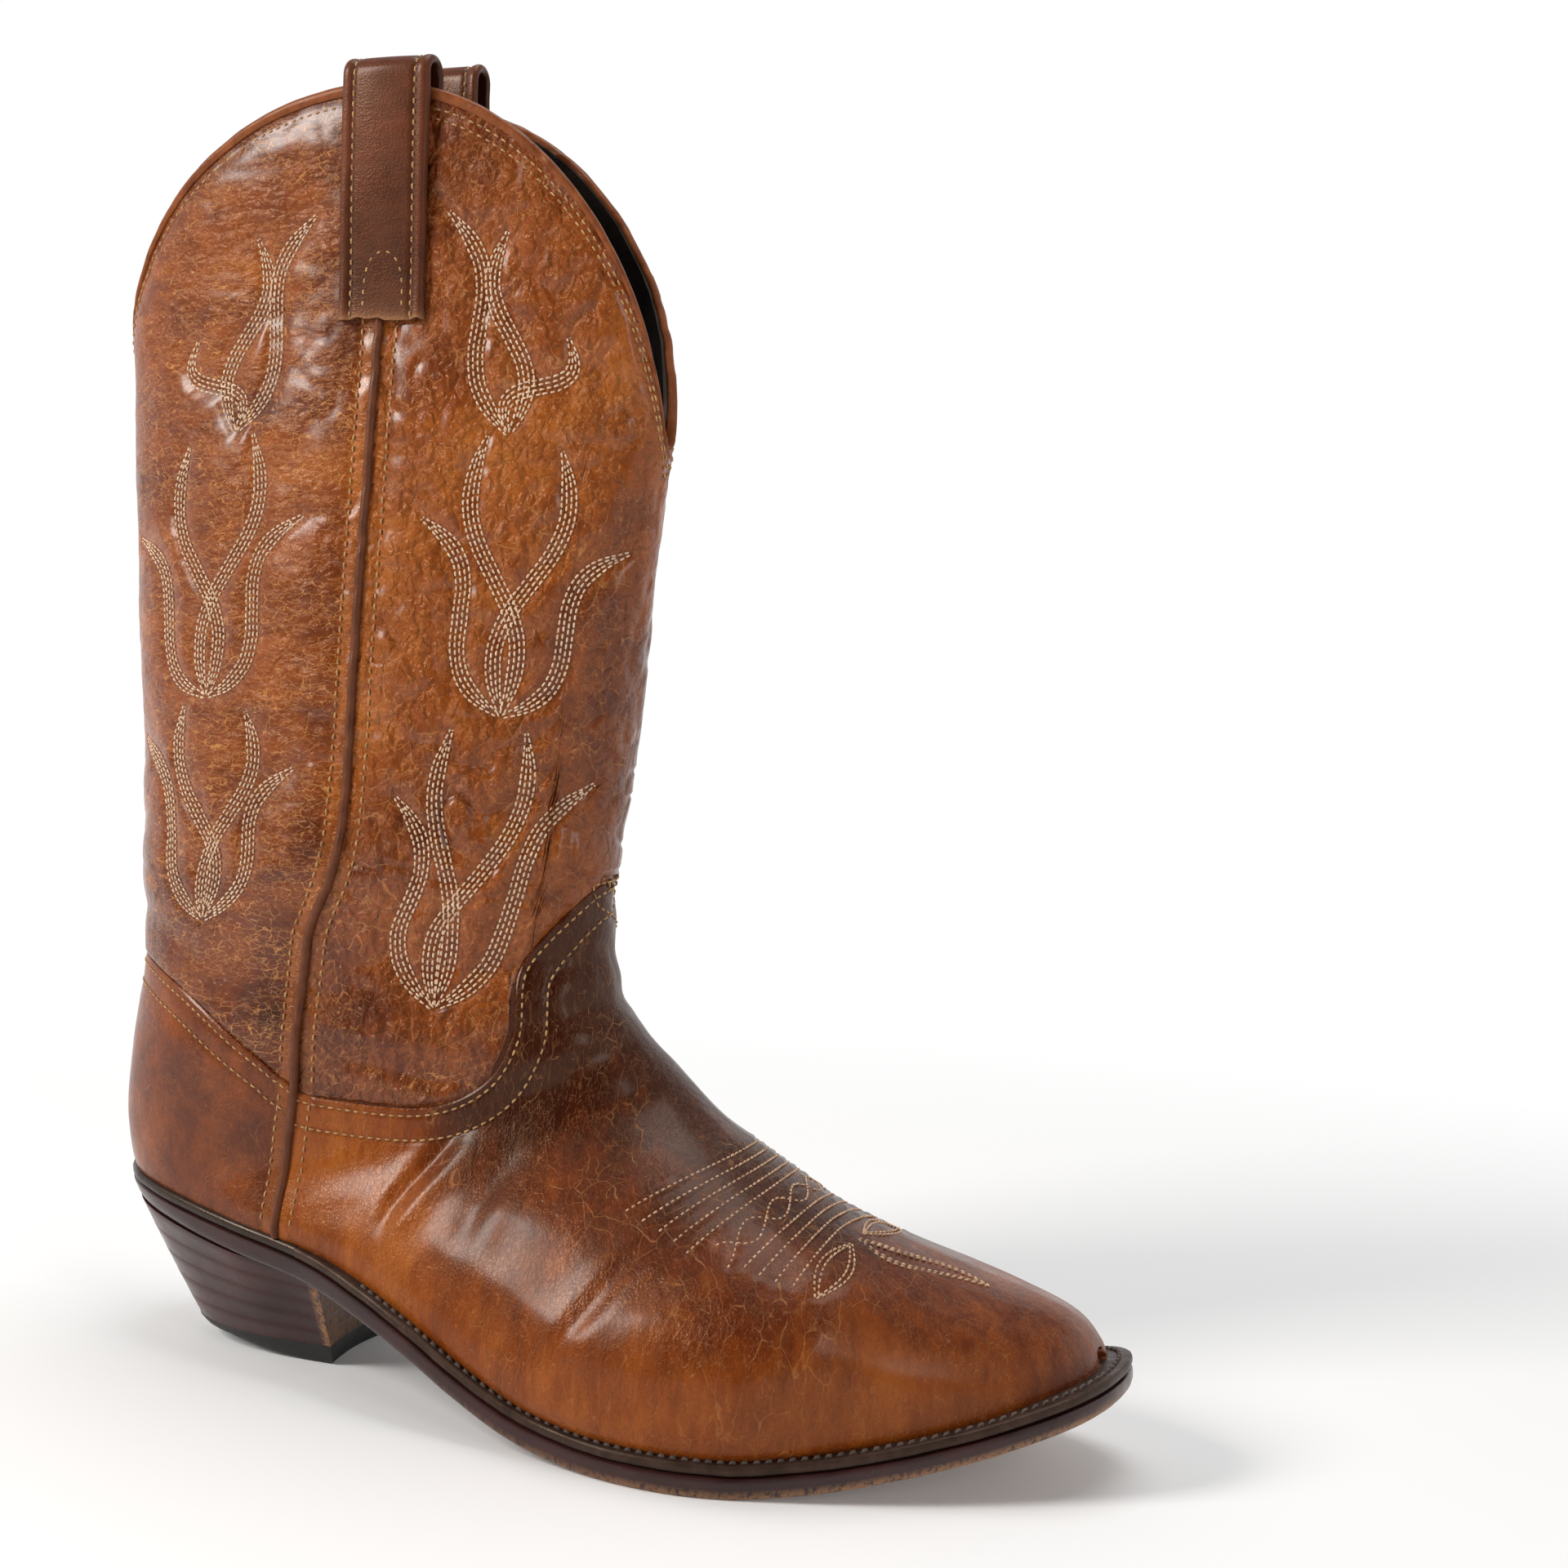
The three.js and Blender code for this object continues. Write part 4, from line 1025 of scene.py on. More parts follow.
def inset(line, distance, inward):
    """The (t, turn) line moved across the surface by some millimetres."""
    t, turn = even(*line, 500)
    points = body(t, turn)
    tangent = np.gradient(points, axis=0)
    tangent /= np.linalg.norm(tangent, axis=1, keepdims=True)
    aside = np.cross(normal(t, turn), tangent)
    flip = np.sign((aside[len(aside) // 4] * np.array(inward)).sum())
    return walk(t, turn, aside * flip * distance)


def grounded(grid):
    """Bring the last row of a grid down to the foot of the vamp where it ends above it."""
    foot = seat_z(grid[-1, :, 0]) - SEAT_SINK
    drop = np.maximum(grid[-1, :, 2] - foot, 0)
    share = np.linspace(0, 1, len(grid))[:, None]
    grid[..., 2] -= drop * smooth(share, 0.95, 1)
    return grid


def foot_piece(name, edges, rows, columns, material, slot, node, drops):
    t, turn = coons(*edges, rows, columns)
    points = body(t, turn)
    top_distance = nearest_distance(points, edges[0])
    strip = 0 * top_distance + 99.0
    for seam in edges[2:]:
        strip = np.minimum(strip, nearest_distance(points, seam))
    rows_near = 0
    for drop in drops:
        rows_near = rows_near + np.exp(-((top_distance - drop) / 0.9) ** 2)
    rows_near = rows_near + np.exp(-((strip - SEAM_ROW) / 0.9) ** 2)
    relief = FOOT_LIFT - 0.22 * np.minimum(rows_near, 1)
    relief = relief + 0.25 * smooth(np.minimum(top_distance - drops[-1], strip - SEAM_ROW), 0, 6)
    relief = relief - 0.5 * (1 - smooth(top_distance, 0, 0.9))
    relief = relief - toe_relief(t, turn) if node == "vamp" else relief
    outer = grounded(surface(t, turn, relief))
    inner = grounded(surface(t, turn, 0 * relief + FOOT_BACK))
    wall = edge_points(grounded(surface(t, turn, 0 * relief + FOOT_LIFT - 1.0)))
    vertices, faces = shell(outer, inner, [wall], ratio=4)
    obj = add_mesh(name, vertices, faces)
    # Mask of the sunk stitch channels: the material paints shade into them and makes them rougher.
    set_attribute(obj, "stitch_groove_shade", 0.7 * np.minimum(rows_near, 1))
    set_attribute(obj, "strip", 1 - smooth(strip, SEAM_ROW - 0.5, SEAM_ROW + 1.2))
    set_attribute(obj, "rim", 1 - smooth(top_distance, 0.2, 1.6))
    tone = foot_tone(outer) if node == "vamp" else 0.44 + 0.15 * noise(outer, 50, 47)
    set_attribute(obj, "shading", tone)
    finish_piece(obj, material, slot, node)
    return obj


def foot_tone(points):
    """The vamp is lighter along the sole and toe cap and darker over the instep."""
    x, z = points[..., 0], points[..., 2]
    low = 1 - smooth(z - seat_z(x), 8, 66)
    toe = smooth(x, 215, 262)
    behind = 1 - smooth(x, 80, 125)
    tone = 0.08 + 0.5 * np.maximum(low, 0.9 * toe)
    tone += (0.8 - tone) * behind
    return np.clip(tone + 0.15 * noise(points, 42, 43), 0, 1)


def distance_to(points, places):
    tree = kdtree.KDTree(len(places))
    for i, p in enumerate(places.tolist()):
        tree.insert(p, i)
    tree.balance()
    flat = points.reshape(-1, 3).tolist()
    return np.array([tree.find(p)[2] for p in flat]).reshape(points.shape[:-1])


def nearest_distance(points, line):
    """Distance in space from each point to a (t, turn) line."""
    return distance_to(points, body(*even(*line, 700)))


TOE_DEPTH = 0.45


def toe_relief(t, turn):
    """Channels along the toe stitches, with padded ribs between them."""
    places = np.concatenate([body(*even(*line, 90)) for line in toe_lines()])
    near = distance_to(body(t, turn), places)
    rib = np.exp(-((near - 1.7) / 0.9) ** 2)
    return TOE_DEPTH * np.exp(-(near / 0.75) ** 2) - 0.2 * rib


TOE_START = 194.5


def toe_place(ahead, aside):
    """(t, turn) on top of the foot: millimetres ahead of TOE_START along the ridge and
    millimetres round the foot from the toe line, outer side positive."""
    ahead, aside = np.broadcast_arrays(np.asarray(ahead, float), np.asarray(aside, float))
    aside = aside + 12 * smooth(ahead, 12, 38) - 5 * smooth(ahead, 45, 65)
    sections = np.linspace(8, 17.5, 96)
    ridge = body(sections, 0 * sections + math.pi)[:, 0]
    t = np.interp(TOE_START + ahead, ridge, sections)
    turn = 0 * t + math.pi
    steps = 12
    for _ in range(steps):
        _, around = slopes(t, turn)
        turn = turn - aside / steps / (np.linalg.norm(around, axis=-1) + 1e-9)
    return t, turn


def toe_lines():
    """Toe stitches: two groups of rows over the foot with a chain between them,
    a leaf on each side and a pointed leaf to the toe."""
    lines = []
    reach = np.linspace(-1, 1, 81)
    for k in range(5):
        half = 51 - 0.8 * k
        lines.append(toe_place(-0.5 + 3.2 * k + 6 * np.abs(reach) ** 1.6, half * reach))
    for k in range(4):
        half = 36 - 2.0 * k
        lines.append(toe_place(22.5 + 3.2 * k + 4 * np.abs(reach) ** 1.6, half * reach))
    for sign in (1, -1):
        wave = 2.6 * np.sin(reach * math.pi * 3.5)
        lines.append(toe_place(17.8 + 4.4 * np.abs(reach) ** 1.6 + sign * wave, 40 * reach))
    f = np.linspace(0, 1, 60)
    for gap in (0, 1.3):
        for sign in (1, -1):
            for side in (1, -1):
                bulge = sign * (3.6 - gap) * np.sin(math.pi * f)
                lines.append(toe_place(37 + 4 * f + bulge, side * (4 + gap + (26 - 2 * gap) * f)))
            width = sign * (4.6 - gap) * np.sin(math.pi * f ** 0.8)
            lines.append(toe_place(37 + gap + (33 - 2 * gap) * f, width))
    return lines


def foot_stitches(material, toe_material):
    vamp_top, _, _, _ = vamp_edges()
    counter_top, _, _, _ = counter_edges()
    for name, line, inward, drops in (("vamp", vamp_top, (1, 0, -1), (2.2, 9.5)),
                                      ("counter", counter_top, (0, 0, -1), (2.0, 8.0))):
        rows = []
        for drop in drops:
            t, turn = inset(line, drop, inward)
            rows.append(stitch_row(t, turn, FOOT_LIFT - 0.1 + 0 * t, 2.7, 0.68))
        stitches(f"{name}_edge_stitches", *joined(rows), material, radius=0.34)
    rows = []
    for side in (1, -1):
        for half, top in (("front", 82), ("back", 84)):
            z = np.linspace(top, 46, 120)
            t, turn = place(half, side, 0 * z, z)
            t, turn = place(half, side, SEAM_ROW / half_width(half, side, t), z)
            rows.append(stitch_row(t, turn, FOOT_LIFT - 0.1 + 0 * t, 3.0, 0.66))
    stitches("foot_seam_stitches", *joined(rows), material, radius=0.34)
    rows = []
    for t, turn in toe_lines():
        rows.append(stitch_row(t, turn, FOOT_LIFT - 0.1 + 0 * t, 1.9, 0.76))
    stitches("toe_stitches", *joined(rows), toe_material, radius=0.34)


def foot_lining(name, edges, material, slot, node):
    t, turn = coons(*edges, 40, 80)
    obj = add_mesh(name, *shell(surface(t, turn, 0 * t - 4.3), surface(t, turn, 0 * t - 3.3)))
    finish_piece(obj, material, slot, node)


# ---- pull straps ---------------------------------------------------------------------------

STRAP_X = 79
STRAP_WIDTH = 28
STRAP_THICKNESS = 2.4
STRAP_TOPS = {1: 385.5, -1: 390}
STRAP_END = 309
STRAP_END_INSIDE = 318
STRAP_STAND = 1.4
STRAP_INNER = -5.5
STRAP_ROW = 4.2
STRAP_BOW = 0.9
STRAP_BOW_RISE = (320, 372)
# Above this height a strap keeps the shape of the shaft's section here.
STRAP_SHAPE_TOP = 379.5
STRAP_COLUMNS = 57


def strap_path(side):
    """Middle line of a strap as [offset from the shaft, height, lean], from its outer end over
    the top and down inside."""
    outer = STRAP_STAND + STRAP_THICKNESS / 2
    centre, radius = (outer + STRAP_INNER) / 2, (outer - STRAP_INNER) / 2
    base = STRAP_TOPS[side] - STRAP_THICKNESS / 2 - radius - STRAP_BOW
    low = STRAP_END
    up = [[outer - 1.0 * (1 - smooth(z, low + 4, low + 40)), z, 0.0] for z in np.linspace(low, base, 60)]
    bend = [[centre + radius * math.cos(a), base + radius * math.sin(a), a]
            for a in np.linspace(0, math.pi, 22)[1:-1]]
    down = [[STRAP_INNER, z, math.pi] for z in np.linspace(base, STRAP_END_INSIDE, 50)]
    return np.array(up + bend + down)


def strap_bow(across, z, lean):
    """How far the strap stands out in its middle, with across from -1 to 1 over its width."""
    return STRAP_BOW * (1 - across ** 2) * smooth(z, *STRAP_BOW_RISE) * np.cos(lean)


def strap_point(side, x, z, offset):
    """Place on a strap: along x and z, and outward by an offset from the shaft."""
    z_low = np.minimum(z, STRAP_SHAPE_TOP)
    t = bisect(0 * z_low, 0 * z_low + 5, lambda v: body(v, 0 * v + math.pi / 2)[..., 2] > z_low)
    row = catmull(SECTIONS, t)
    along = 2 * (x - row[..., 0]) / (row[..., 2] - row[..., 0]) - 1
    width = np.where(side > 0, row[..., 4], row[..., 5]) * np.sqrt(1 - along * along)
    return np.stack([x + 0 * z, -side * (width + offset) + row[..., 9], z], -1)


def pull_strap(side, name, material, slot):
    path = strap_path(side)
    across = np.linspace(-1, 1, STRAP_COLUMNS)
    half = STRAP_THICKNESS / 2
    edge = 1 - np.abs(across)
    rounded = np.sqrt(1 - np.clip(1 - edge * STRAP_WIDTH / 2 / 1.1, 0, 1) ** 2)
    from_edge = edge * STRAP_WIDTH / 2
    groove = 0.35 * np.exp(-((from_edge - STRAP_ROW) / 0.8) ** 2)
    swell = 0.3 * np.exp(-((from_edge - 1.8) / 1.3) ** 2) - groove
    offset, z, lean = path[:, :1], path[:, 1:2], path[:, 2:3]
    x = STRAP_X + across[None] * (STRAP_WIDTH / 2) + 0 * z
    x = x + 0.35 * noise(np.stack([x, 0 * x + 40 * side, z + 0 * x], -1), 16, 61)
    ragged = 0.9 * noise(np.stack([x, 0 * x, 0 * x + 5 * side], -1), 3.2, 63)
    ragged = ragged * np.exp(-(np.arange(len(path))[:, None]) / 1.5)
    bow = strap_bow(across[None], z, lean)

    def face(sign):
        thick = sign * half * rounded[None] + np.maximum(sign, 0) * swell[None] + bow
        return strap_point(side, x, z + ragged + thick * np.sin(lean), offset + thick * np.cos(lean))
    vertices, faces = shell(face(1), face(-1))
    obj = add_mesh(f"pull_loop_{name}", vertices, faces, sharp_angle=60)
    rows_near = np.exp(-((from_edge - STRAP_ROW) / 0.7) ** 2)
    # Mask of the stitch grooves: the strap material paints shade into them.
    set_attribute(obj, "stitch_groove_shade", np.broadcast_to(rows_near, x.shape))
    # Mask of the raised ridge along each edge: the strap material paints a highlight on it.
    set_attribute(obj, "puff", np.broadcast_to(np.exp(-(from_edge - 1.8) ** 2), x.shape))
    set_attribute(obj, "rim", np.broadcast_to(np.exp(-np.arange(len(path))[:, None] / 1.2), x.shape))
    set_attribute(obj, "shading", 0.5 + 0.3 * noise(np.stack([x, 0 * x, z + 0 * x], -1), 20, 65))
    finish_piece(obj, material, slot, f"pull_strap_{name}")


def strap_stitches(material):
    for side, name in ((1, "outer"), (-1, "inner")):
        path = strap_path(side)
        rows = []
        lines = [(STRAP_X + sign * (STRAP_WIDTH / 2 - STRAP_ROW) + 0 * path[:, 1], path) for sign in (1, -1)]
        f = np.linspace(0, math.pi, 60)
        arch_x = STRAP_X + 0.8 + 6.3 * np.cos(f)
        arch_z = STRAP_END + 3 + 16.5 * np.sin(f) ** 0.55
        arch = np.stack([np.interp(arch_z, path[:60, 1], path[:60, 0]), arch_z, 0 * f], 1)
        lines.append((arch_x, arch))
        for x, line in lines:
            out = STRAP_THICKNESS / 2 - 0.22
            run_out, z, lean = line[:, 0], line[:, 1], line[:, 2]
            out = out + strap_bow((x - STRAP_X) / (STRAP_WIDTH / 2), z, lean)
            points = strap_point(side, x, z + out * np.sin(lean), run_out + out * np.cos(lean))
            steps = np.linalg.norm(np.diff(points, axis=0), axis=1)
            run = np.concatenate([[0], np.cumsum(steps)])
            count = int(run[-1] / 3.0)
            at = (np.arange(count) + 0.2) * run[-1] / count

            def where(places):
                return np.stack([np.interp(places, run, points[:, k]) for k in range(3)], 1)
            lean = np.interp(at, run, line[:, 2])
            n = np.stack([0 * lean, -side * np.cos(lean), np.sin(lean)], 1)
            rows.append((where(at), where(at + 1.9), n))
        stitches(f"strap_stitches_{name}", *joined(rows), material, radius=0.36)


# ---- sole ----------------------------------------------------------------------------------

OUTLINE_POINTS = 150


def feather():
    """Where the upper meets the welt, as two rows of points from heel to toe: outer and inner."""
    f = np.linspace(0, 1, 1200)
    t = heel_start() + (ridge_end() - heel_start()) * f
    rows = []
    for side in (1, -1):
        turn = side * seat_crossing(t, side)
        p = body(t, turn) + normal(t, turn) * FOOT_LIFT
        rows.append(np.stack([p[:, 0], p[:, 1]], 1))
    middle_back = (rows[0][0] + rows[1][0]) / 2
    middle_toe = (rows[0][-1] + rows[1][-1]) / 2
    out = []
    for row in rows:
        line = np.concatenate([[middle_back], row[1:-1], [middle_toe]])
        out.append(line)
    return out


def ledge(x):
    side = LEDGE_HEEL + (LEDGE_SIDE - LEDGE_HEEL) * smooth(x, 55, 100)
    return side + (LEDGE_TOE - LEDGE_SIDE) * smooth(x, 262, 292)


def loop_line():
    """Closed outline of the feather edge, evenly spaced, from the back of the heel round the
    outer side, the toe and the inner side."""
    outer, inner = feather()
    whole = np.concatenate([outer, inner[::-1][1:]])
    count = 2 * OUTLINE_POINTS
    line = spaced(whole, count=count + 1)[:-1]
    for _ in range(6):
        line = (np.roll(line, 1, 0) + 2 * line + np.roll(line, -1, 0)) / 4
    return line


FEATHER = loop_line()
_tangent = np.roll(FEATHER, -1, 0) - np.roll(FEATHER, 1, 0)
_tangent /= np.linalg.norm(_tangent, axis=1, keepdims=True)
FEATHER_NORMAL = np.stack([_tangent[:, 1], -_tangent[:, 0]], 1)
if ((FEATHER_NORMAL * (FEATHER - FEATHER.mean(0))).sum()) < 0:
    FEATHER_NORMAL = -FEATHER_NORMAL


def outline(distance):
    """The feather edge moved outward by a distance, or inward towards the far side."""
    distance = np.broadcast_to(distance, (len(FEATHER),))
    partner = FEATHER[(-np.arange(len(FEATHER))) % len(FEATHER)]
    x = FEATHER[:, 0]
    middle = (FEATHER + partner) / 2
    middle[:, 0] += 8 * (1 - smooth(x, -7, 12)) - 9 * smooth(x, 280, 298)
    inward = middle - FEATHER
    share = np.minimum(-distance / np.linalg.norm(inward, axis=1), 0.84)
    return np.where(distance[:, None] >= 0, FEATHER + FEATHER_NORMAL * distance[:, None],
                    FEATHER + inward * share[:, None])


LEDGE = ledge(FEATHER[:, 0])


def ring_at(distance, rise):
    """Points of the outline at a height over the seat line."""
    xy = outline(distance)
    z = seat_z(FEATHER[:, 0] + 0.7 * (xy[:, 0] - FEATHER[:, 0])) + rise
    return np.concatenate([xy, z[:, None]], 1)


def stretch(ahead):
    """Places of the outline ahead of the heel breast, or behind it, in order."""
    x = outline(LEDGE)[:, 0]
    count = len(FEATHER)
    if ahead:
        return np.array([i for i in range(count) if x[i] > BREAST_X - 1])
    wanted = [i for i in range(count) if x[i] < BREAST_X + 2]
    low = [i for i in wanted if i < count // 2]
    high = [i for i in wanted if i >= count // 2]
    return np.array(high + low)


def strip_piece(name, places, profile, material, slot, node):
    """Band along part of the outline, from (outward distance, height) profile points."""
    rings = np.stack([ring_at(d, rise)[places] for d, rise in profile], 1)
    obj = add_mesh(name, *sweep(rings), sharp_angle=40)
    finish_piece(obj, material, slot, node)
    return obj


HEEL_TOP_BACK_INSET = 3.0


def welt_and_rand(material, rand_material):
    wobble = 0.12 * noise(np.concatenate([FEATHER, 0 * FEATHER[:, :1]], 1), 6, 71)
    out = LEDGE + wobble
    profile = [(-9, -0.3), (-1, -0.3), (0.4, -0.2), (1.2, -0.45), (out - 1.3, -0.5), (out - 0.7, -0.55),
               (out - 0.2, -0.9), (out, -1.5), (out + 0.05, -2.3), (out - 0.15, -3.0),
               (out - 0.6, -3.4), (-9, -3.4)]
    strip_piece("welt_strip", stretch(True), profile, material, "welt_leather", "welt")
    heel = [(-9, -0.25), (-0.4, -0.25), (0.5, -0.2), (out - 0.8, -0.35), (out - 0.25, -0.8),
            (out - 0.05, -1.6), (out - 0.15, -2.6), (out - 0.5, -3.2), (out - 1.0, -3.5), (-9, -3.5)]
    strip_piece("heel_band", stretch(False), heel, rand_material, "welt_leather", "heel_rand")


def plate(name, loops, material, slot, *nodes, columns=10):
    """Closed plate from loops of points down its edge; the first and last are also filled
    across, from the outer side to the inner side."""
    count = len(loops[0])
    half = count // 2
    across = np.linspace(0, 1, columns + 1)[None, :, None]

    def filled(loop):
        rows = np.arange(1, half)
        a, b = loop[rows], loop[count - rows]
        return a[:, None] * (1 - across) + b[:, None] * across

    def loop_of(loop):
        return edge_points(filled(loop))
    vertices, faces = shell(filled(loops[0]), filled(loops[-1]), [loop_of(p) for p in loops[1:-1]])
    obj = add_mesh(name, vertices, faces, sharp_angle=40)
    finish_piece(obj, material, slot, *nodes)
    return obj


def outsole(material):
    wobble = 0.1 * noise(np.concatenate([FEATHER, 0 * FEATHER[:, :1]], 1), 9, 73)
    x = FEATHER[:, 0]
    worn = smooth(x, 225, 285)
    out = LEDGE + wobble
    lean = HEEL_TOP_BACK_INSET * (1 - smooth(x, -5, 45)) + 0.6 * (1 - smooth(x, 50, 90))
    levels = [(0.75, -3.75), (0.05, -4.2), (-0.2, -5.2), (-0.25, -6.8),
              (-0.1 + 0.2 * worn, -8.2), (0.35 + 0.5 * worn, -9.1 + 0.15 * worn),
              (1.1 + 0.8 * worn, -9.6)]
    loops = [ring_at(out - inset - lean * (-3.5 - np.mean(rise)) / 6, rise) for inset, rise in levels]
    obj = plate("outer_sole", loops, material, "sole_leather", "outsole")
    x, z = np.array([v.co for v in obj.data.vertices])[:, [0, 2]].T * 1000
    low = 1 - smooth(z - (seat_z(x - SHIFT[0]) - SOLE_STACK), 0.5, 2.6)
    set_attribute(obj, "worn", low * smooth(x - SHIFT[0], 100, 200))


def welt_stitches(material):
    """Stitches of the welt on its ledge, ahead of the waist."""
    line = ring_at(0.5 + LEDGE * 0.42, -0.42)
    places = stretch(True)
    line = line[places]
    line = line[line[:, 0] > 96]
    steps = np.linalg.norm(np.diff(line, axis=0), axis=1)
    run = np.concatenate([[0], np.cumsum(steps)])
    count = int(run[-1] / 3.1)
    at = (np.arange(count) + 0.2) * run[-1] / count

    def where(values):
        return np.stack([np.interp(values, run, line[:, k]) for k in range(3)], 1)
    up = np.tile([0.0, 0.0, 1.0], (count, 1))
    obj = stitches("welt_stitches", where(at), where(at + 2.3), up, material, radius=0.62)


# ---- heel ----------------------------------------------------------------------------------

HEEL_LIFTS = 5
CAP_THICKNESS = 6
HEEL_HEIGHT = 42
HEEL_BOTTOM = {"back": 20.5, "breast": 72, "half_width": 20.5, "breast_half_width": 19}
HEEL_TOP_BREAST = 75.5
HEEL_TOP_SIDE_INSET = 1
HEEL_TOP_NARROWING = 6
BREAST_HOLLOW = 2
CAP_WEAR = 3.8
HEEL_POINTS = 96
GAP = 0.3


def heel_top_line():
    """Outline under the heel from the outer breast corner round the back to the inner one."""
    x = FEATHER[:, 0]
    behind = 1 - smooth(x, -5, 45)
    inset = HEEL_TOP_SIDE_INSET + (HEEL_TOP_BACK_INSET - HEEL_TOP_SIDE_INSET + 0.4) * behind
    xy = outline(LEDGE - inset - HEEL_TOP_NARROWING * smooth(x, 45, HEEL_TOP_BREAST))
    count = len(xy)
    places = [i for i in range(count) if xy[i, 0] < HEEL_TOP_BREAST - 0.2]
    line = xy[[i for i in places if i >= count // 2] + [i for i in places if i < count // 2]]
    if line[0, 1] > line[-1, 1]:
        line = line[::-1]
    ends = [[[HEEL_TOP_BREAST, corner[1]]] for corner in (line[0], line[-1])]
    return spaced(np.concatenate([ends[0], line, ends[1]]), count=HEEL_POINTS)


def heel_bottom_line():
    back, breast = HEEL_BOTTOM["back"], HEEL_BOTTOM["breast"]
    f = np.linspace(-1, 1, 400)
    straight = np.minimum(1, (1 - np.abs(f)) / 0.25)
    angle = np.minimum(1, np.abs(f) / 0.75) * (math.pi / 2)
    round_length = 0.62 * (breast - back)
    x = np.where(straight < 1, breast - (breast - back - round_length) * straight,
                 back + round_length * (1 - np.cos(angle) ** 0.9))
    wide = HEEL_BOTTOM["breast_half_width"]
    y = np.where(straight < 1, wide + (HEEL_BOTTOM["half_width"] - wide) * straight,
                 HEEL_BOTTOM["half_width"] * np.sin(angle) ** 0.9)
    return spaced(np.stack([x, np.sign(f) * y], 1), count=HEEL_POINTS)


HEEL_TOP = heel_top_line()
HEEL_FOOT = heel_bottom_line()


HEEL_COLUMNS = 14


def heel_grid(depth, level, grow=0.0):
    """Grid over the heel's D-shaped section at a depth from 0 (top) to 1 (floor): rows go from
    the breast to the back."""
    ring = HEEL_TOP * (1 - depth) + HEEL_FOOT * depth
    centre = ring.mean(0)
    away = ring - centre
    ring = ring + grow * away / np.linalg.norm(away, axis=1, keepdims=True)
    half = HEEL_POINTS // 2
    a, b = ring[:half], ring[::-1][:half]
    across = np.linspace(0, 1, HEEL_COLUMNS + 1)[None, :, None]
    grid = a[:, None] * (1 - across) + b[:, None] * across
    hollow = BREAST_HOLLOW * np.sin(math.pi * across[..., 0]) * np.exp(-np.arange(half)[:, None] / 4)
    grid[..., 0] -= hollow
    z = level(grid[..., 0])
    return np.concatenate([grid, z[..., None]], -1)


def heel_level(k):
    f = k / HEEL_LIFTS

    def level(x):
        top = HEEL_SEAT_Z - HEEL_PITCH * x - SOLE_STACK - GAP
        return top * (1 - f) + (CAP_THICKNESS + GAP) * f
    return level


def heel_depth(k):
    return k / HEEL_LIFTS * (1 - CAP_THICKNESS / HEEL_HEIGHT)


def moved(level, rise):
    return lambda x: level(x) + rise


def heel_lift(k, material):
    top, bottom = heel_level(k), heel_level(k + 1)
    start, end = heel_depth(k), heel_depth(k + 1)
    joint = 0.02
    upper = moved(top, 0 if k == 0 else -0.01)
    lower = moved(bottom, 0.01)
    loops = [edge_points(heel_grid(start, moved(top, -0.07), joint))]
    for f in (0.35, 0.7):
        blend = (lambda share: lambda x: top(x) * (1 - share) + bottom(x) * share)(f)
        loops.append(edge_points(heel_grid(start + (end - start) * f, blend, joint)))
    loops.append(edge_points(heel_grid(end, moved(bottom, 0.07), joint)))
    vertices, faces = shell(heel_grid(start, upper), heel_grid(end, lower), loops)
    obj = add_mesh(f"heel_layer_{k + 1}", vertices, faces, sharp_angle=50)
    x = vertices[:, 0]
    set_attribute(obj, "breast", smooth(x, x.max() - 3.2, x.max() - 2.2))
    finish_piece(obj, material, "stack_leather", f"heel_lift_{k + 1}")


def heel_cap(material):
    """Rubber top piece, its back outer corner worn round."""
    start = heel_depth(HEEL_LIFTS)

    def worn(grid, share):
        wear = smooth(66 - grid[..., 0], 0, 44) * (0.35 + 0.65 * smooth(-grid[..., 1], -14, 14))
        grid[..., 2] += share * CAP_WEAR * wear
        return grid
    top = heel_grid(start, lambda x: 0 * x + CAP_THICKNESS + 0.25)
    bottom = worn(heel_grid(1.0, lambda x: 0 * x, -1.0), 1)
    loops = [edge_points(heel_grid(start, lambda x: 0 * x + CAP_THICKNESS, 0.1)),
             edge_points(worn(heel_grid(0.93, lambda x: 0 * x + CAP_THICKNESS * 0.5, 0.1), 0.35)),
             edge_points(worn(heel_grid(0.985, lambda x: 0 * x + 1.0, 0.05), 0.9)),
             edge_points(worn(heel_grid(1.0, lambda x: 0 * x + 0.25, -0.4), 1))]
    obj = add_mesh("heel_top_piece", *shell(top, bottom, loops), sharp_angle=50)
    finish_piece(obj, material, "cap_rubber", "heel_cap")


# ---- materials -----------------------------------------------------------------------------


def linear(red, green, blue):
    """Linear colour from 0..255 display values."""
    def one(v):
        v = v / 255
        return v / 12.92 if v <= 0.04045 else ((v + 0.055) / 1.055) ** 2.4
    return (one(red), one(green), one(blue), 1)


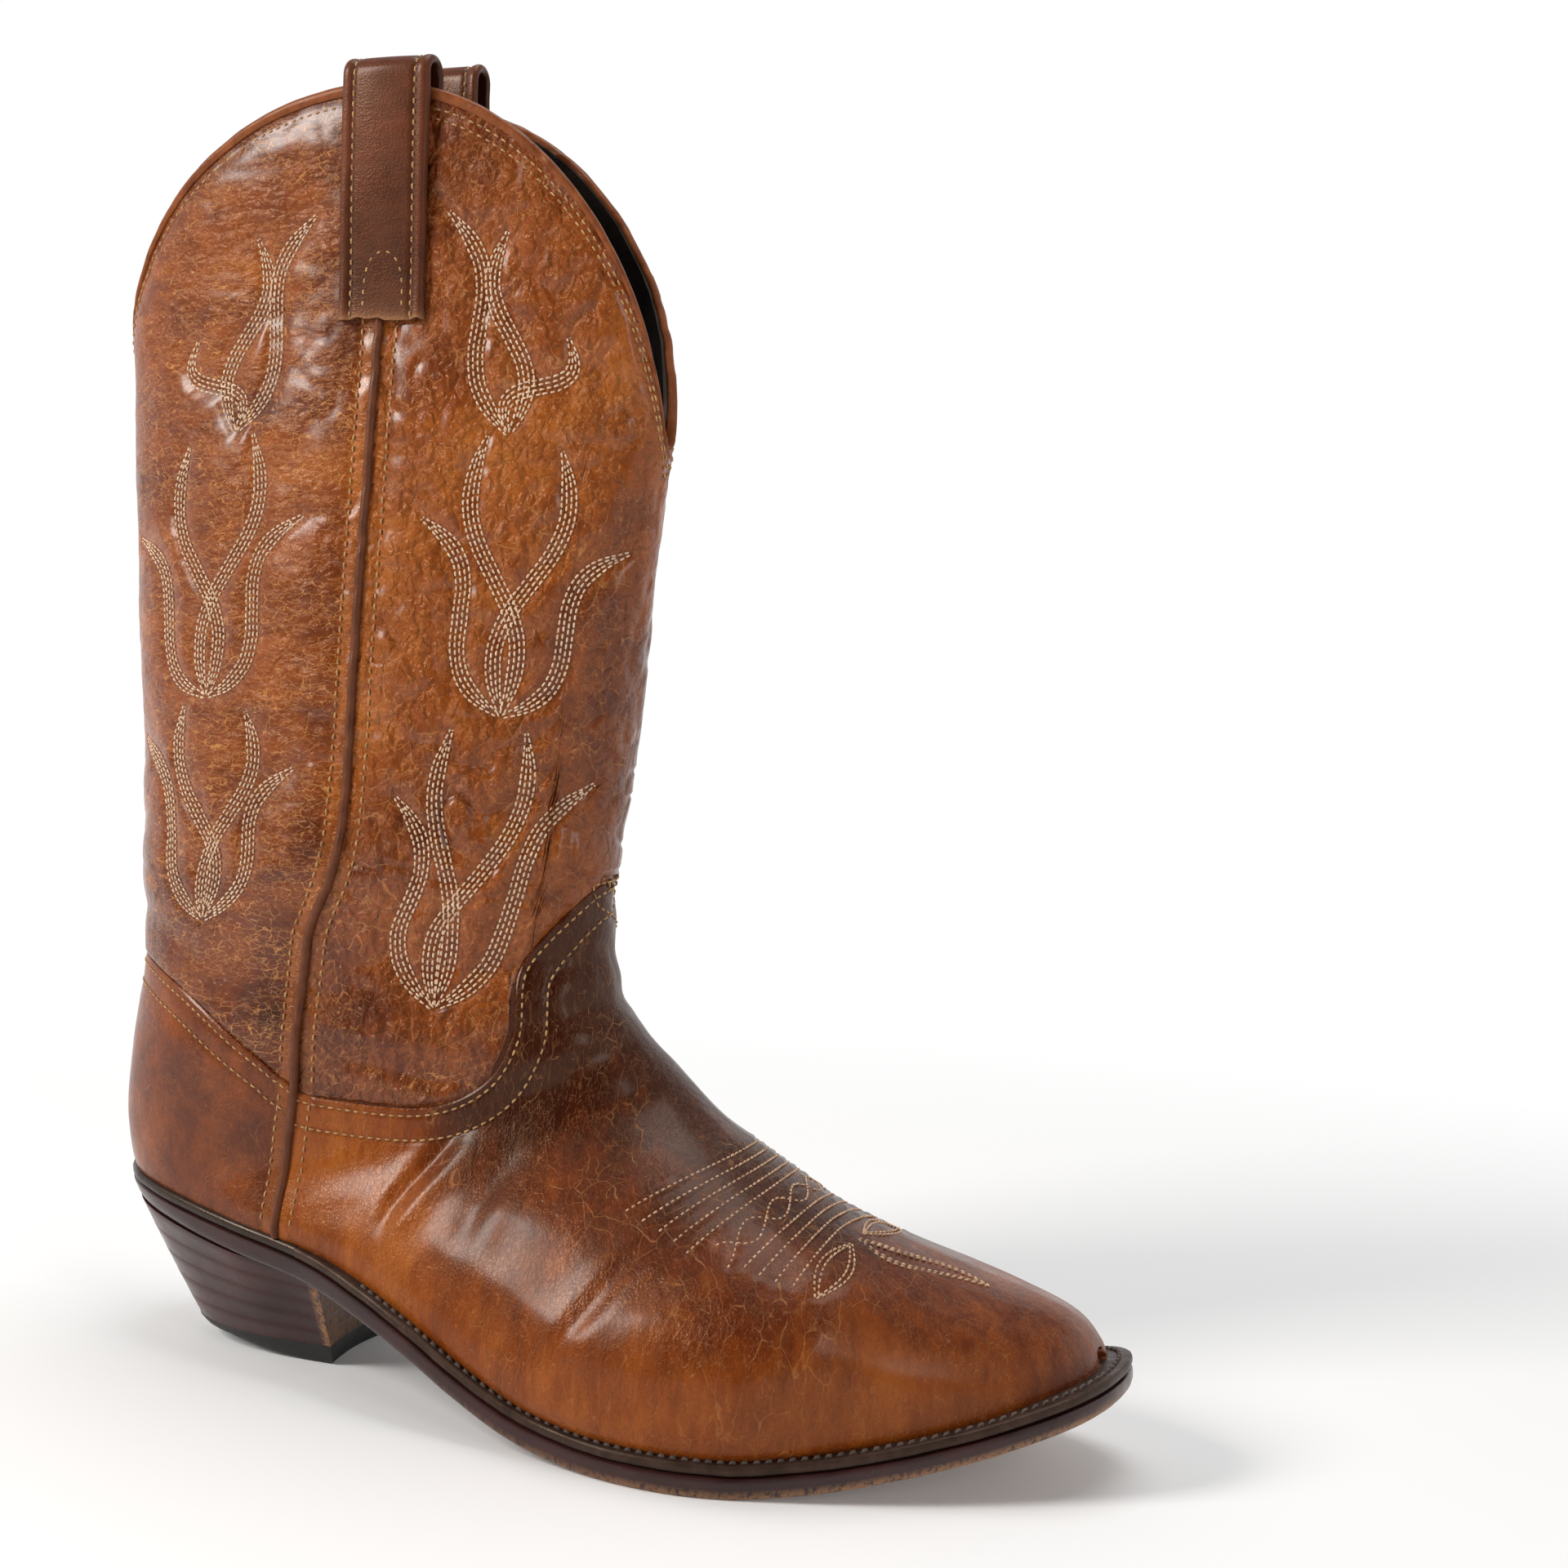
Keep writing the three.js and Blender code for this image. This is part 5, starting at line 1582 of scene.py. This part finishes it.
class Nodes:
    """Short hand for building a material's node tree."""

    def __init__(self, name):
        self.material = bpy.data.materials.new(name)
        self.material.use_nodes = True
        self.tree = self.material.node_tree
        self.shader = self.tree.nodes["Principled BSDF"]
        self.coordinates = self.tree.nodes.new("ShaderNodeTexCoord").outputs["Object"]

    def node(self, kind, **settings):
        node = self.tree.nodes.new(kind)
        for key, value in settings.items():
            setattr(node, key, value)
        return node

    def put(self, socket, value):
        if isinstance(value, bpy.types.NodeSocket):
            self.tree.links.new(value, socket)
        else:
            socket.default_value = value

    def math(self, operation, a, b=0.0, clamp=False):
        node = self.node("ShaderNodeMath", operation=operation, use_clamp=clamp)
        self.put(node.inputs[0], a)
        self.put(node.inputs[1], b)
        return node.outputs[0]

    def add(self, a, b):
        return self.math("ADD", a, b)

    def times(self, a, b):
        return self.math("MULTIPLY", a, b)

    def attribute(self, name):
        return self.node("ShaderNodeAttribute", attribute_name=name).outputs["Fac"]

    def scaled(self, size):
        """Coordinates with one unit per the given millimetres, along each axis."""
        node = self.node("ShaderNodeVectorMath", operation="MULTIPLY")
        self.put(node.inputs[0], self.coordinates)
        node.inputs[1].default_value = [1000 / s for s in size]
        return node.outputs[0]

    def noise(self, size, detail=2.0, rough=0.5, distortion=0.0, stretch=(1, 1, 1)):
        node = self.node("ShaderNodeTexNoise")
        self.put(node.inputs["Vector"], self.scaled([size * s for s in stretch]))
        node.inputs["Scale"].default_value = 1
        node.inputs["Detail"].default_value = detail
        node.inputs["Roughness"].default_value = rough
        node.inputs["Distortion"].default_value = distortion
        return node.outputs["Fac"]

    def warped(self, size, amount, warp_size, stretch=(1, 1, 1)):
        """Coordinates pushed about by noise, for irregular cells."""
        push = self.node("ShaderNodeTexNoise")
        self.put(push.inputs["Vector"], self.scaled([warp_size] * 3))
        push.inputs["Scale"].default_value = 1
        push.inputs["Detail"].default_value = 2
        centred = self.node("ShaderNodeVectorMath", operation="MULTIPLY_ADD")
        self.put(centred.inputs[0], push.outputs["Color"])
        centred.inputs[1].default_value = (amount,) * 3
        self.put(centred.inputs[2], self.scaled([size * s for s in stretch]))
        return centred.outputs[0]

    def cells(self, size, feature="DISTANCE_TO_EDGE", warp=0.0, warp_size=8.0, stretch=(1, 1, 1)):
        node = self.node("ShaderNodeTexVoronoi", feature=feature)
        vector = self.warped(size, warp, warp_size, stretch) if warp else self.scaled(
            [size * s for s in stretch])
        self.put(node.inputs["Vector"], vector)
        node.inputs["Scale"].default_value = 1
        return node.outputs["Distance"]

    def between(self, value, low, high, out_low=0.0, out_high=1.0):
        node = self.node("ShaderNodeMapRange", interpolation_type="SMOOTHSTEP")
        self.put(node.inputs["Value"], value)
        for key, number in (("From Min", low), ("From Max", high), ("To Min", out_low),
                            ("To Max", out_high)):
            node.inputs[key].default_value = number
        return node.outputs["Result"]

    def mix(self, factor, a, b, blend="MIX"):
        node = self.node("ShaderNodeMix", data_type="RGBA", blend_type=blend)
        self.put(node.inputs[0], factor)
        self.put(node.inputs[6], a)
        self.put(node.inputs[7], b)
        return node.outputs[2]

    def ramp(self, value, stops):
        node = self.node("ShaderNodeValToRGB")
        elements = node.color_ramp.elements
        while len(elements) < len(stops):
            elements.new(0.5)
        for element, (place, colour) in zip(elements, stops):
            element.position = place
            element.color = colour
        self.put(node.inputs["Fac"], value)
        return node.outputs["Color"]

    def bump(self, height, millimetres, strength=1.0, below=None):
        node = self.node("ShaderNodeBump")
        node.inputs["Strength"].default_value = strength
        node.inputs["Distance"].default_value = millimetres / 1000
        self.put(node.inputs["Height"], height)
        if below is not None:
            self.put(node.inputs["Normal"], below)
        return node.outputs["Normal"]

    def finish(self, colour, roughness, bump=None, **fixed):
        self.put(self.shader.inputs["Base Color"], colour)
        self.put(self.shader.inputs["Roughness"], roughness)
        if bump is not None:
            self.put(self.shader.inputs["Normal"], bump)
        for key, value in fixed.items():
            self.shader.inputs[key].default_value = value
        return self.material


DARK = linear(52, 17, 5)
DEEP = linear(92, 36, 9)
MIDDLE = linear(132, 62, 14)
LIGHT = linear(168, 92, 30)
PALE = linear(204, 138, 78)
WARM_SHINE = (1.0, 0.62, 0.38, 1)


def creases(m, size, width, patch, stretch):
    """Thin broken crease lines round irregular cells, strong only in patches: (lines, mask)."""
    cells = m.cells(size, warp=0.9, warp_size=size * 1.3, stretch=stretch)
    line = m.between(cells, 0.0, width, 1, 0)
    broken = m.between(m.noise(size * 0.8, detail=2, stretch=stretch), 0.35, 0.6)
    mask = m.between(m.noise(size * 5 + 4, detail=2, stretch=stretch), *patch)
    return m.times(m.times(line, broken), mask)


def cognac(name, tone_shift=0.0, wide=0.4, fine=0.5, crumple=0.2, stretch=(1, 1, 1), shine=0.3):
    """Oiled pull-up leather: mottled dye, pale creases, fine grain, painted shade in the sunk stitched
    bands, polish on the high spots.
    """
    m = Nodes(name)
    mottle = m.noise(30, detail=3, rough=0.55, stretch=stretch)
    cloud = m.noise(6, detail=4, rough=0.65, stretch=stretch)
    value = m.add(m.attribute("shading"), m.times(m.add(mottle, -0.5), 0.9))
    value = m.add(value, m.times(m.add(cloud, -0.5 + tone_shift), 0.6))
    colour = m.ramp(value, [(0.05, DARK), (0.34, DEEP), (0.62, MIDDLE), (0.95, LIGHT)])

    broad = creases(m, 8.0, 0.03, (0.44, 0.60), stretch)
    close = creases(m, 3.2, 0.05, (0.38, 0.54), stretch)
    tiny = creases(m, 1.6, 0.08, (0.34, 0.52), stretch)
    pale = m.add(m.times(broad, 0.55 * wide), m.times(close, 0.6 * fine))
    pale = m.add(pale, m.times(tiny, 0.35 * fine))
    colour = m.mix(m.math("MINIMUM", pale, 0.75), colour, PALE)

    scuff = m.noise(3.0, detail=4, rough=0.7, distortion=1.5, stretch=(2.6, 2.6, 0.7))
    scuff = m.times(m.between(scuff, 0.64, 0.72), m.between(m.noise(30, detail=1), 0.52, 0.66))
    colour = m.mix(m.times(scuff, 0.4), colour, PALE)

    stitch_groove_shade = m.attribute("stitch_groove_shade")
    # Painted shade: darker in the sunk stitched bands and stitch channels.
    colour = m.mix(m.times(stitch_groove_shade, 0.25), colour, DARK)
    colour = m.mix(m.times(m.attribute("strip"), 0.3), colour, LIGHT)
    colour = m.mix(m.times(m.attribute("rim"), 0.35), colour, DEEP)
    pores = m.cells(0.75, feature="F1", warp=0.5, warp_size=1.3)
    colour = m.mix(m.times(m.between(pores, 0.35, 0.75), 0.14), colour, DARK)

    normal = m.bump(m.add(pores, m.times(m.noise(0.4, detail=2), 0.4)), 0.08, 0.9)
    cuts = m.add(m.times(close, 1.0), m.add(m.times(broad, 0.8), m.times(tiny, 0.6)))
    normal = m.bump(m.math("MULTIPLY", cuts, -1.0), 0.16, 0.9, below=normal)
    pads = m.add(m.between(m.cells(7.5, warp=0.9, warp_size=9, stretch=stretch), 0.0, 0.32),
                 m.times(m.between(m.cells(3.4, warp=0.8, warp_size=5, stretch=stretch), 0.0, 0.3), 0.5))
    normal = m.bump(pads, crumple, 0.9, below=normal)
    normal = m.bump(m.noise(4.5, detail=2, stretch=stretch), 0.3, 0.6, below=normal)

    rough = m.between(m.noise(14, detail=3), 0.3, 0.7, 0.27, 0.42)
    rough = m.add(rough, m.times(pale, 0.25))
    rough = m.add(rough, m.times(stitch_groove_shade, 0.1))
    return m.finish(colour, rough, normal, **{"Coat Weight": shine, "Coat Roughness": 0.2,
                                             "Specular IOR Level": 0.3, "Specular Tint": WARM_SHINE})


PLAIN_GRAIN = 0.9
PLAIN_GRAIN_DEPTH = 0.07


def plain_leather(name, colours, size=9, rough=(0.35, 0.55), coat=0.1):
    """Dyed leather without pull-up lines."""
    m = Nodes(name)
    dark, light = colours
    mottle = m.noise(size, detail=4, rough=0.6)
    colour = m.ramp(mottle, [(0.25, dark), (0.75, light)])
    speck = m.noise(0.8, detail=3, rough=0.7)
    colour = m.mix(m.times(m.between(speck, 0.6, 0.75), 0.25), colour, light)
    cells = m.cells(PLAIN_GRAIN, feature="F1", warp=0.5, warp_size=1.4)
    normal = m.bump(cells, PLAIN_GRAIN_DEPTH, 0.8)
    normal = m.bump(m.noise(4, detail=2), 0.2, 0.6, below=normal)
    roughness = m.between(m.noise(6, detail=3), 0.3, 0.7, *rough)
    return m.finish(colour, roughness, normal, **{"Coat Weight": coat, "Coat Roughness": 0.25,
                                                  "Specular IOR Level": 0.3,
                                                  "Specular Tint": WARM_SHINE})


def strap_leather():
    m = Nodes("strap_leather")
    mottle = m.add(m.noise(12, detail=4, rough=0.6), m.times(m.add(m.attribute("shading"), -0.5), 0.5))
    colour = m.ramp(mottle, [(0.25, linear(50, 19, 9)), (0.8, linear(94, 44, 24))])
    # Painted highlight: a lighter line on the raised ridge along each edge.
    colour = m.mix(m.times(m.attribute("puff"), 0.22), colour, linear(118, 62, 40))
    # Painted shade: darker in the grooves of the stitch rows.
    colour = m.mix(m.times(m.attribute("stitch_groove_shade"), 0.45), colour, linear(40, 18, 12))
    colour = m.mix(m.times(m.attribute("rim"), 0.5), colour, linear(170, 120, 82))
    grain = m.cells(0.8, feature="F1", warp=0.5, warp_size=1.4, stretch=(1, 1, 0.7))
    normal = m.bump(grain, 0.08, 0.9)
    normal = m.bump(m.noise(3, detail=3, stretch=(2, 2, 0.6)), 0.15, 0.6, below=normal)
    rough = m.between(m.noise(8, detail=3), 0.3, 0.7, 0.34, 0.5)
    return m.finish(colour, rough, normal, **{"Coat Weight": 0.15, "Coat Roughness": 0.2,
                                             "Specular IOR Level": 0.3, "Specular Tint": WARM_SHINE})


def edge_leather(name, colours, worn_attribute):
    """Burnished edge of sole or heel: dark dye, faint layers, scratches and raw worn spots."""
    m = Nodes(name)
    dark, light = colours
    mottle = m.noise(16, detail=4, rough=0.6, stretch=(1.3, 1.3, 0.8))
    colour = m.ramp(mottle, [(0.25, dark), (0.8, light)])
    scratch = m.noise(2.2, detail=4, rough=0.7, distortion=2, stretch=(2.5, 2.5, 0.8))
    scratch = m.times(m.between(scratch, 0.68, 0.74), m.between(m.noise(25), 0.5, 0.65))
    colour = m.mix(m.times(scratch, 0.4), colour, linear(116, 84, 64))
    rough = m.between(m.noise(7, detail=3), 0.3, 0.7, 0.24, 0.38)
    fray = m.noise(1.4, detail=4, rough=0.75, stretch=(1, 1, 2.2))
    worn = m.times(m.attribute(worn_attribute), m.between(fray, 0.38, 0.54))
    colour = m.mix(m.times(worn, 0.85), colour, linear(158, 114, 78))
    rough = m.add(rough, m.times(worn, 0.4))
    normal = m.bump(m.noise(0.7, detail=3), 0.05, 0.6)
    normal = m.bump(m.noise(6, detail=2, stretch=(1.3, 1.3, 0.8)), 0.15, 0.5, below=normal)
    return m.finish(colour, rough, normal, **{"Coat Weight": 0.25, "Coat Roughness": 0.2,
                                             "Specular IOR Level": 0.3})


def thread(name, pale, dark):
    m = Nodes(name)
    tint = m.noise(2.5, detail=3, rough=0.7)
    colour = m.ramp(tint, [(0.3, dark), (0.65, pale)])
    twist = m.node("ShaderNodeTexWave", wave_type="BANDS", bands_direction="DIAGONAL")
    m.put(twist.inputs["Vector"], m.scaled([0.5, 0.5, 0.5]))
    twist.inputs["Scale"].default_value = 0.5
    twist.inputs["Distortion"].default_value = 1.5
    colour = m.mix(m.times(twist.outputs["Fac"], 0.25), colour, dark)
    normal = m.bump(twist.outputs["Fac"], 0.06, 0.7)
    return m.finish(colour, 0.62, normal, **{"Sheen Weight": 0.15})


def rubber():
    m = Nodes("cap_rubber")
    dust = m.noise(3, detail=4, rough=0.7)
    colour = m.ramp(dust, [(0.35, linear(20, 19, 18)), (0.8, linear(46, 43, 40))])
    normal = m.bump(m.noise(0.6, detail=3), 0.08, 0.7)
    return m.finish(colour, m.between(dust, 0.3, 0.7, 0.5, 0.7), normal)


def cork():
    m = Nodes("cork")
    grains = m.cells(2.2, feature="F1", warp=0.6, warp_size=3)
    colour = m.ramp(grains, [(0.1, linear(120, 84, 50)), (0.7, linear(176, 134, 88))])
    return m.finish(colour, 0.9, m.bump(grains, 0.3, 0.8))


def wood():
    m = Nodes("peg_wood")
    grain = m.noise(0.8, detail=3, stretch=(1, 1, 6))
    colour = m.ramp(grain, [(0.3, linear(158, 118, 74)), (0.7, linear(206, 170, 118))])
    return m.finish(colour, 0.7, m.bump(grain, 0.08, 0.7))


def steel():
    m = Nodes("steel")
    brushed = m.noise(1.2, detail=3, stretch=(6, 1, 1))
    colour = m.ramp(brushed, [(0.3, linear(120, 120, 122)), (0.7, linear(176, 177, 180))])
    rough = m.between(brushed, 0.3, 0.7, 0.28, 0.45)
    return m.finish(colour, rough, m.bump(brushed, 0.03, 0.5), Metallic=1.0)


def repaint(material, *nodes):
    """Gives CAD nodes that stay in view a finished material."""
    for name in nodes:
        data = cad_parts[name].data
        data.materials.clear()
        data.materials.append(material)


# ---- stage ---------------------------------------------------------------------------------


def build_camera():
    turn, rise = math.radians(CAMERA_TURN), math.radians(CAMERA_RISE)
    back = Vector((math.sin(turn) * math.cos(rise), -math.cos(turn) * math.cos(rise), math.sin(rise)))
    right = (-back).cross(Vector((0, 0, 1))).normalized()
    up = right.cross(-back).normalized()
    roll = math.radians(CAMERA_ROLL)
    axis_x = right * math.cos(roll) + up * math.sin(roll)
    axis_y = up * math.cos(roll) - right * math.sin(roll)
    target = Vector((np.array(CAMERA_TARGET) + SHIFT) / 1000)
    data = bpy.data.cameras.new("camera")
    data.sensor_width = CAMERA_SENSOR
    data.lens = CAMERA_LENS
    data.shift_x, data.shift_y = CAMERA_SHIFT
    data.clip_start = 0.01
    camera = bpy.data.objects.new("camera", data)
    rotation = Matrix((axis_x, axis_y, back)).transposed().to_4x4()
    camera.matrix_world = Matrix.Translation(target + back * CAMERA_DISTANCE / 1000) @ rotation
    bpy.context.scene.collection.objects.link(camera)
    bpy.context.scene.camera = camera


def area_light(name, place, target, size, power, colour=(1, 1, 1)):
    data = bpy.data.lights.new(name, "AREA")
    data.shape = "RECTANGLE"
    data.size, data.size_y = size
    data.energy = power
    data.color = colour
    light = bpy.data.objects.new(name, data)
    light.location = place
    light.rotation_euler = (Vector(target) - Vector(place)).to_track_quat("-Z", "Y").to_euler()
    bpy.context.scene.collection.objects.link(light)


def build_world():
    """Studio round the boot: pale walls to look at, that light it less from the camera's side."""
    world = bpy.data.worlds.new("studio")
    world.use_nodes = True
    tree = world.node_tree
    direction = tree.nodes.new("ShaderNodeTexCoord").outputs["Generated"]
    split = tree.nodes.new("ShaderNodeSeparateXYZ")
    tree.links.new(direction, split.inputs[0])
    total = None
    for axis, low, high, dim, bright in (("Y", -0.75, 0.0, DIM_ROOM, 1.0), ("Z", 0.75, 0.3, 0.35, 1.0)):
        part = tree.nodes.new("ShaderNodeMapRange")
        part.interpolation_type = "SMOOTHSTEP"
        tree.links.new(split.outputs[axis], part.inputs["Value"])
        for key, number in (("From Min", low), ("From Max", high), ("To Min", dim), ("To Max", bright)):
            part.inputs[key].default_value = number
        if total is None:
            total = part.outputs["Result"]
        else:
            product = tree.nodes.new("ShaderNodeMath")
            product.operation = "MULTIPLY"
            tree.links.new(total, product.inputs[0])
            tree.links.new(part.outputs["Result"], product.inputs[1])
            total = product.outputs[0]
    seen = tree.nodes.new("ShaderNodeMath")
    seen.operation = "MAXIMUM"
    tree.links.new(total, seen.inputs[0])
    tree.links.new(tree.nodes.new("ShaderNodeLightPath").outputs["Is Camera Ray"], seen.inputs[1])
    tree.links.new(seen.outputs[0], tree.nodes["Background"].inputs["Strength"])
    tree.nodes["Background"].inputs["Color"].default_value = (1, 1, 1, 1)
    bpy.context.scene.world = world


def build_floor():
    """Pale floor that turns pure white far behind the boot, where it meets the wall."""
    size = 30
    mesh = bpy.data.meshes.new("floor")
    mesh.from_pydata([(-size, -size, 0), (size, -size, 0), (size, size, 0), (-size, size, 0)], [],
                     [(0, 1, 2, 3)])
    floor = bpy.data.objects.new("floor", mesh)
    bpy.context.scene.collection.objects.link(floor)
    m = Nodes("floor_white")
    offset = m.node("ShaderNodeVectorMath", operation="SUBTRACT")
    m.put(offset.inputs[0], m.coordinates)
    offset.inputs[1].default_value = (0.1, -0.3, 0)
    length = m.node("ShaderNodeVectorMath", operation="LENGTH")
    m.put(length.inputs[0], offset.outputs[0])
    far = m.between(length.outputs["Value"], 0.4, 1.2)
    m.put(m.shader.inputs["Emission Color"], (1, 1, 1, 1))
    m.put(m.shader.inputs["Emission Strength"], m.add(m.times(far, 0.92), 0.08))
    mesh.materials.append(m.finish(m.mix(far, (0.85, 0.85, 0.85, 1), (0, 0, 0, 1)), 0.8))


def build_stage():
    build_floor()
    build_world()
    bpy.context.scene.view_settings.view_transform = "Standard"
    area_light("key", (-1.0, -0.98, 1.02), (0, 0, 0.18), (0.45, 0.65), 22, (1, 0.97, 0.93))
    area_light("fill", (1.25, -0.9, 0.75), (0.05, 0, 0.12), (0.25, 0.7), 3)
    area_light("top", (0.1, 0.15, 1.5), (0, 0, 0), (1.0, 0.7), 8)


# ---- assembly ------------------------------------------------------------------------------


def build_boot():
    front = cognac("cognac_front", tone_shift=-0.1, wide=0.8, fine=0.7, crumple=0.9,
                   stretch=(1, 1, 1.15), shine=0.5)
    back = cognac("cognac_back", tone_shift=-0.05, wide=0.5, fine=1.5, crumple=0.4,
                  stretch=(1.7, 1.7, 0.75), shine=0.5)
    vamp = cognac("cognac_vamp", wide=0.6, fine=0.28, crumple=0.08, stretch=(0.7, 0.7, 2.4),
                  shine=0.2)
    counter = cognac("cognac_counter", wide=0.3, fine=0.15, crumple=0.06, shine=0.35)
    pale_thread = thread("pale_thread", linear(240, 212, 182), linear(200, 160, 124))
    ochre_thread = thread("ochre_thread", linear(204, 158, 98), linear(132, 88, 48))
    toe_thread = thread("toe_thread", linear(222, 186, 150), linear(160, 112, 80))
    black_lining = plain_leather("black_lining", (linear(14, 12, 12), linear(34, 30, 28)), coat=0.3)
    tan_lining = plain_leather("tan_lining", (linear(150, 112, 76), linear(190, 152, 112)),
                               rough=(0.6, 0.8), coat=0)
    binding = plain_leather("binding_leather", (linear(92, 42, 20), linear(142, 78, 40)), size=6)
    piping = plain_leather("piping_leather", (linear(72, 36, 22), linear(108, 62, 42)), size=5)
    welt = plain_leather("welt_leather", (linear(28, 20, 18), linear(64, 48, 42)), size=5,
                         rough=(0.4, 0.6))
    rand = plain_leather("rand_leather", (linear(20, 16, 14), linear(46, 38, 34)), size=5,
                         rough=(0.28, 0.45), coat=0.2)
    sole = edge_leather("sole_leather", (linear(34, 17, 15), linear(64, 32, 29)), "worn")
    stack = edge_leather("stack_leather", (linear(42, 20, 18), linear(72, 36, 32)), "breast")
    board = plain_leather("leather_board", (linear(140, 108, 78), linear(182, 148, 112)),
                          rough=(0.75, 0.9), coat=0)
    insole_leather = plain_leather("insole_leather", (linear(158, 120, 82), linear(196, 160, 120)),
                                   rough=(0.6, 0.8), coat=0)
    welt_thread = thread("welt_thread", linear(92, 72, 60), linear(44, 32, 27))

    shaft_panel("front", front, "cognac_leather")
    shaft_panel("back", back, "cognac_leather")
    shaft_lining("front", black_lining, "shaft_lining_leather")
    shaft_lining("back", black_lining, "shaft_lining_leather")
    top_binding("front", binding, "binding_leather")
    top_binding("back", binding, "binding_leather")
    for side, name in ((1, "outer"), (-1, "inner")):
        side_piping(side, name, piping, "piping_leather")
        pull_strap(side, name, strap_leather(), "strap_leather")
    seam_stitches(ochre_thread)
    top_stitches(ochre_thread)
    band_stitches(pale_thread)
    strap_stitches(ochre_thread)

    vamp_lines, counter_lines = vamp_edges(), counter_edges()
    foot_piece("vamp_leather", vamp_lines, 176, 440, vamp, "cognac_leather", "vamp", (2.2, 9.5))
    foot_piece("counter_leather", counter_lines, 96, 280, counter, "cognac_leather",
               "heel_counter", (2.0, 8.0))
    foot_stitches(ochre_thread, toe_thread)
    foot_lining("vamp_lining_leather", vamp_lines, tan_lining, "foot_lining_leather", "vamp_lining")
    foot_lining("heel_lining_leather", counter_lines, tan_lining, "foot_lining_leather",
                "heel_lining")

    welt_and_rand(welt, rand)
    outsole(sole)
    welt_stitches(welt_thread)
    for k in range(HEEL_LIFTS):
        heel_lift(k, stack)
    heel_cap(rubber())

    repaint(board, "toe_box", "counter_stiffener")
    repaint(insole_leather, "insole", "heel_pad")
    repaint(cork(), "cork_filler")
    pegs = [f"wood_peg_{side}_{i}" for side in ("outer", "inner") for i in range(1, 5)]
    repaint(wood(), *pegs)
    repaint(steel(), "steel_shank", *[f"heel_nail_{i}" for i in range(1, 6)])


build_camera()
build_stage()
build_boot()
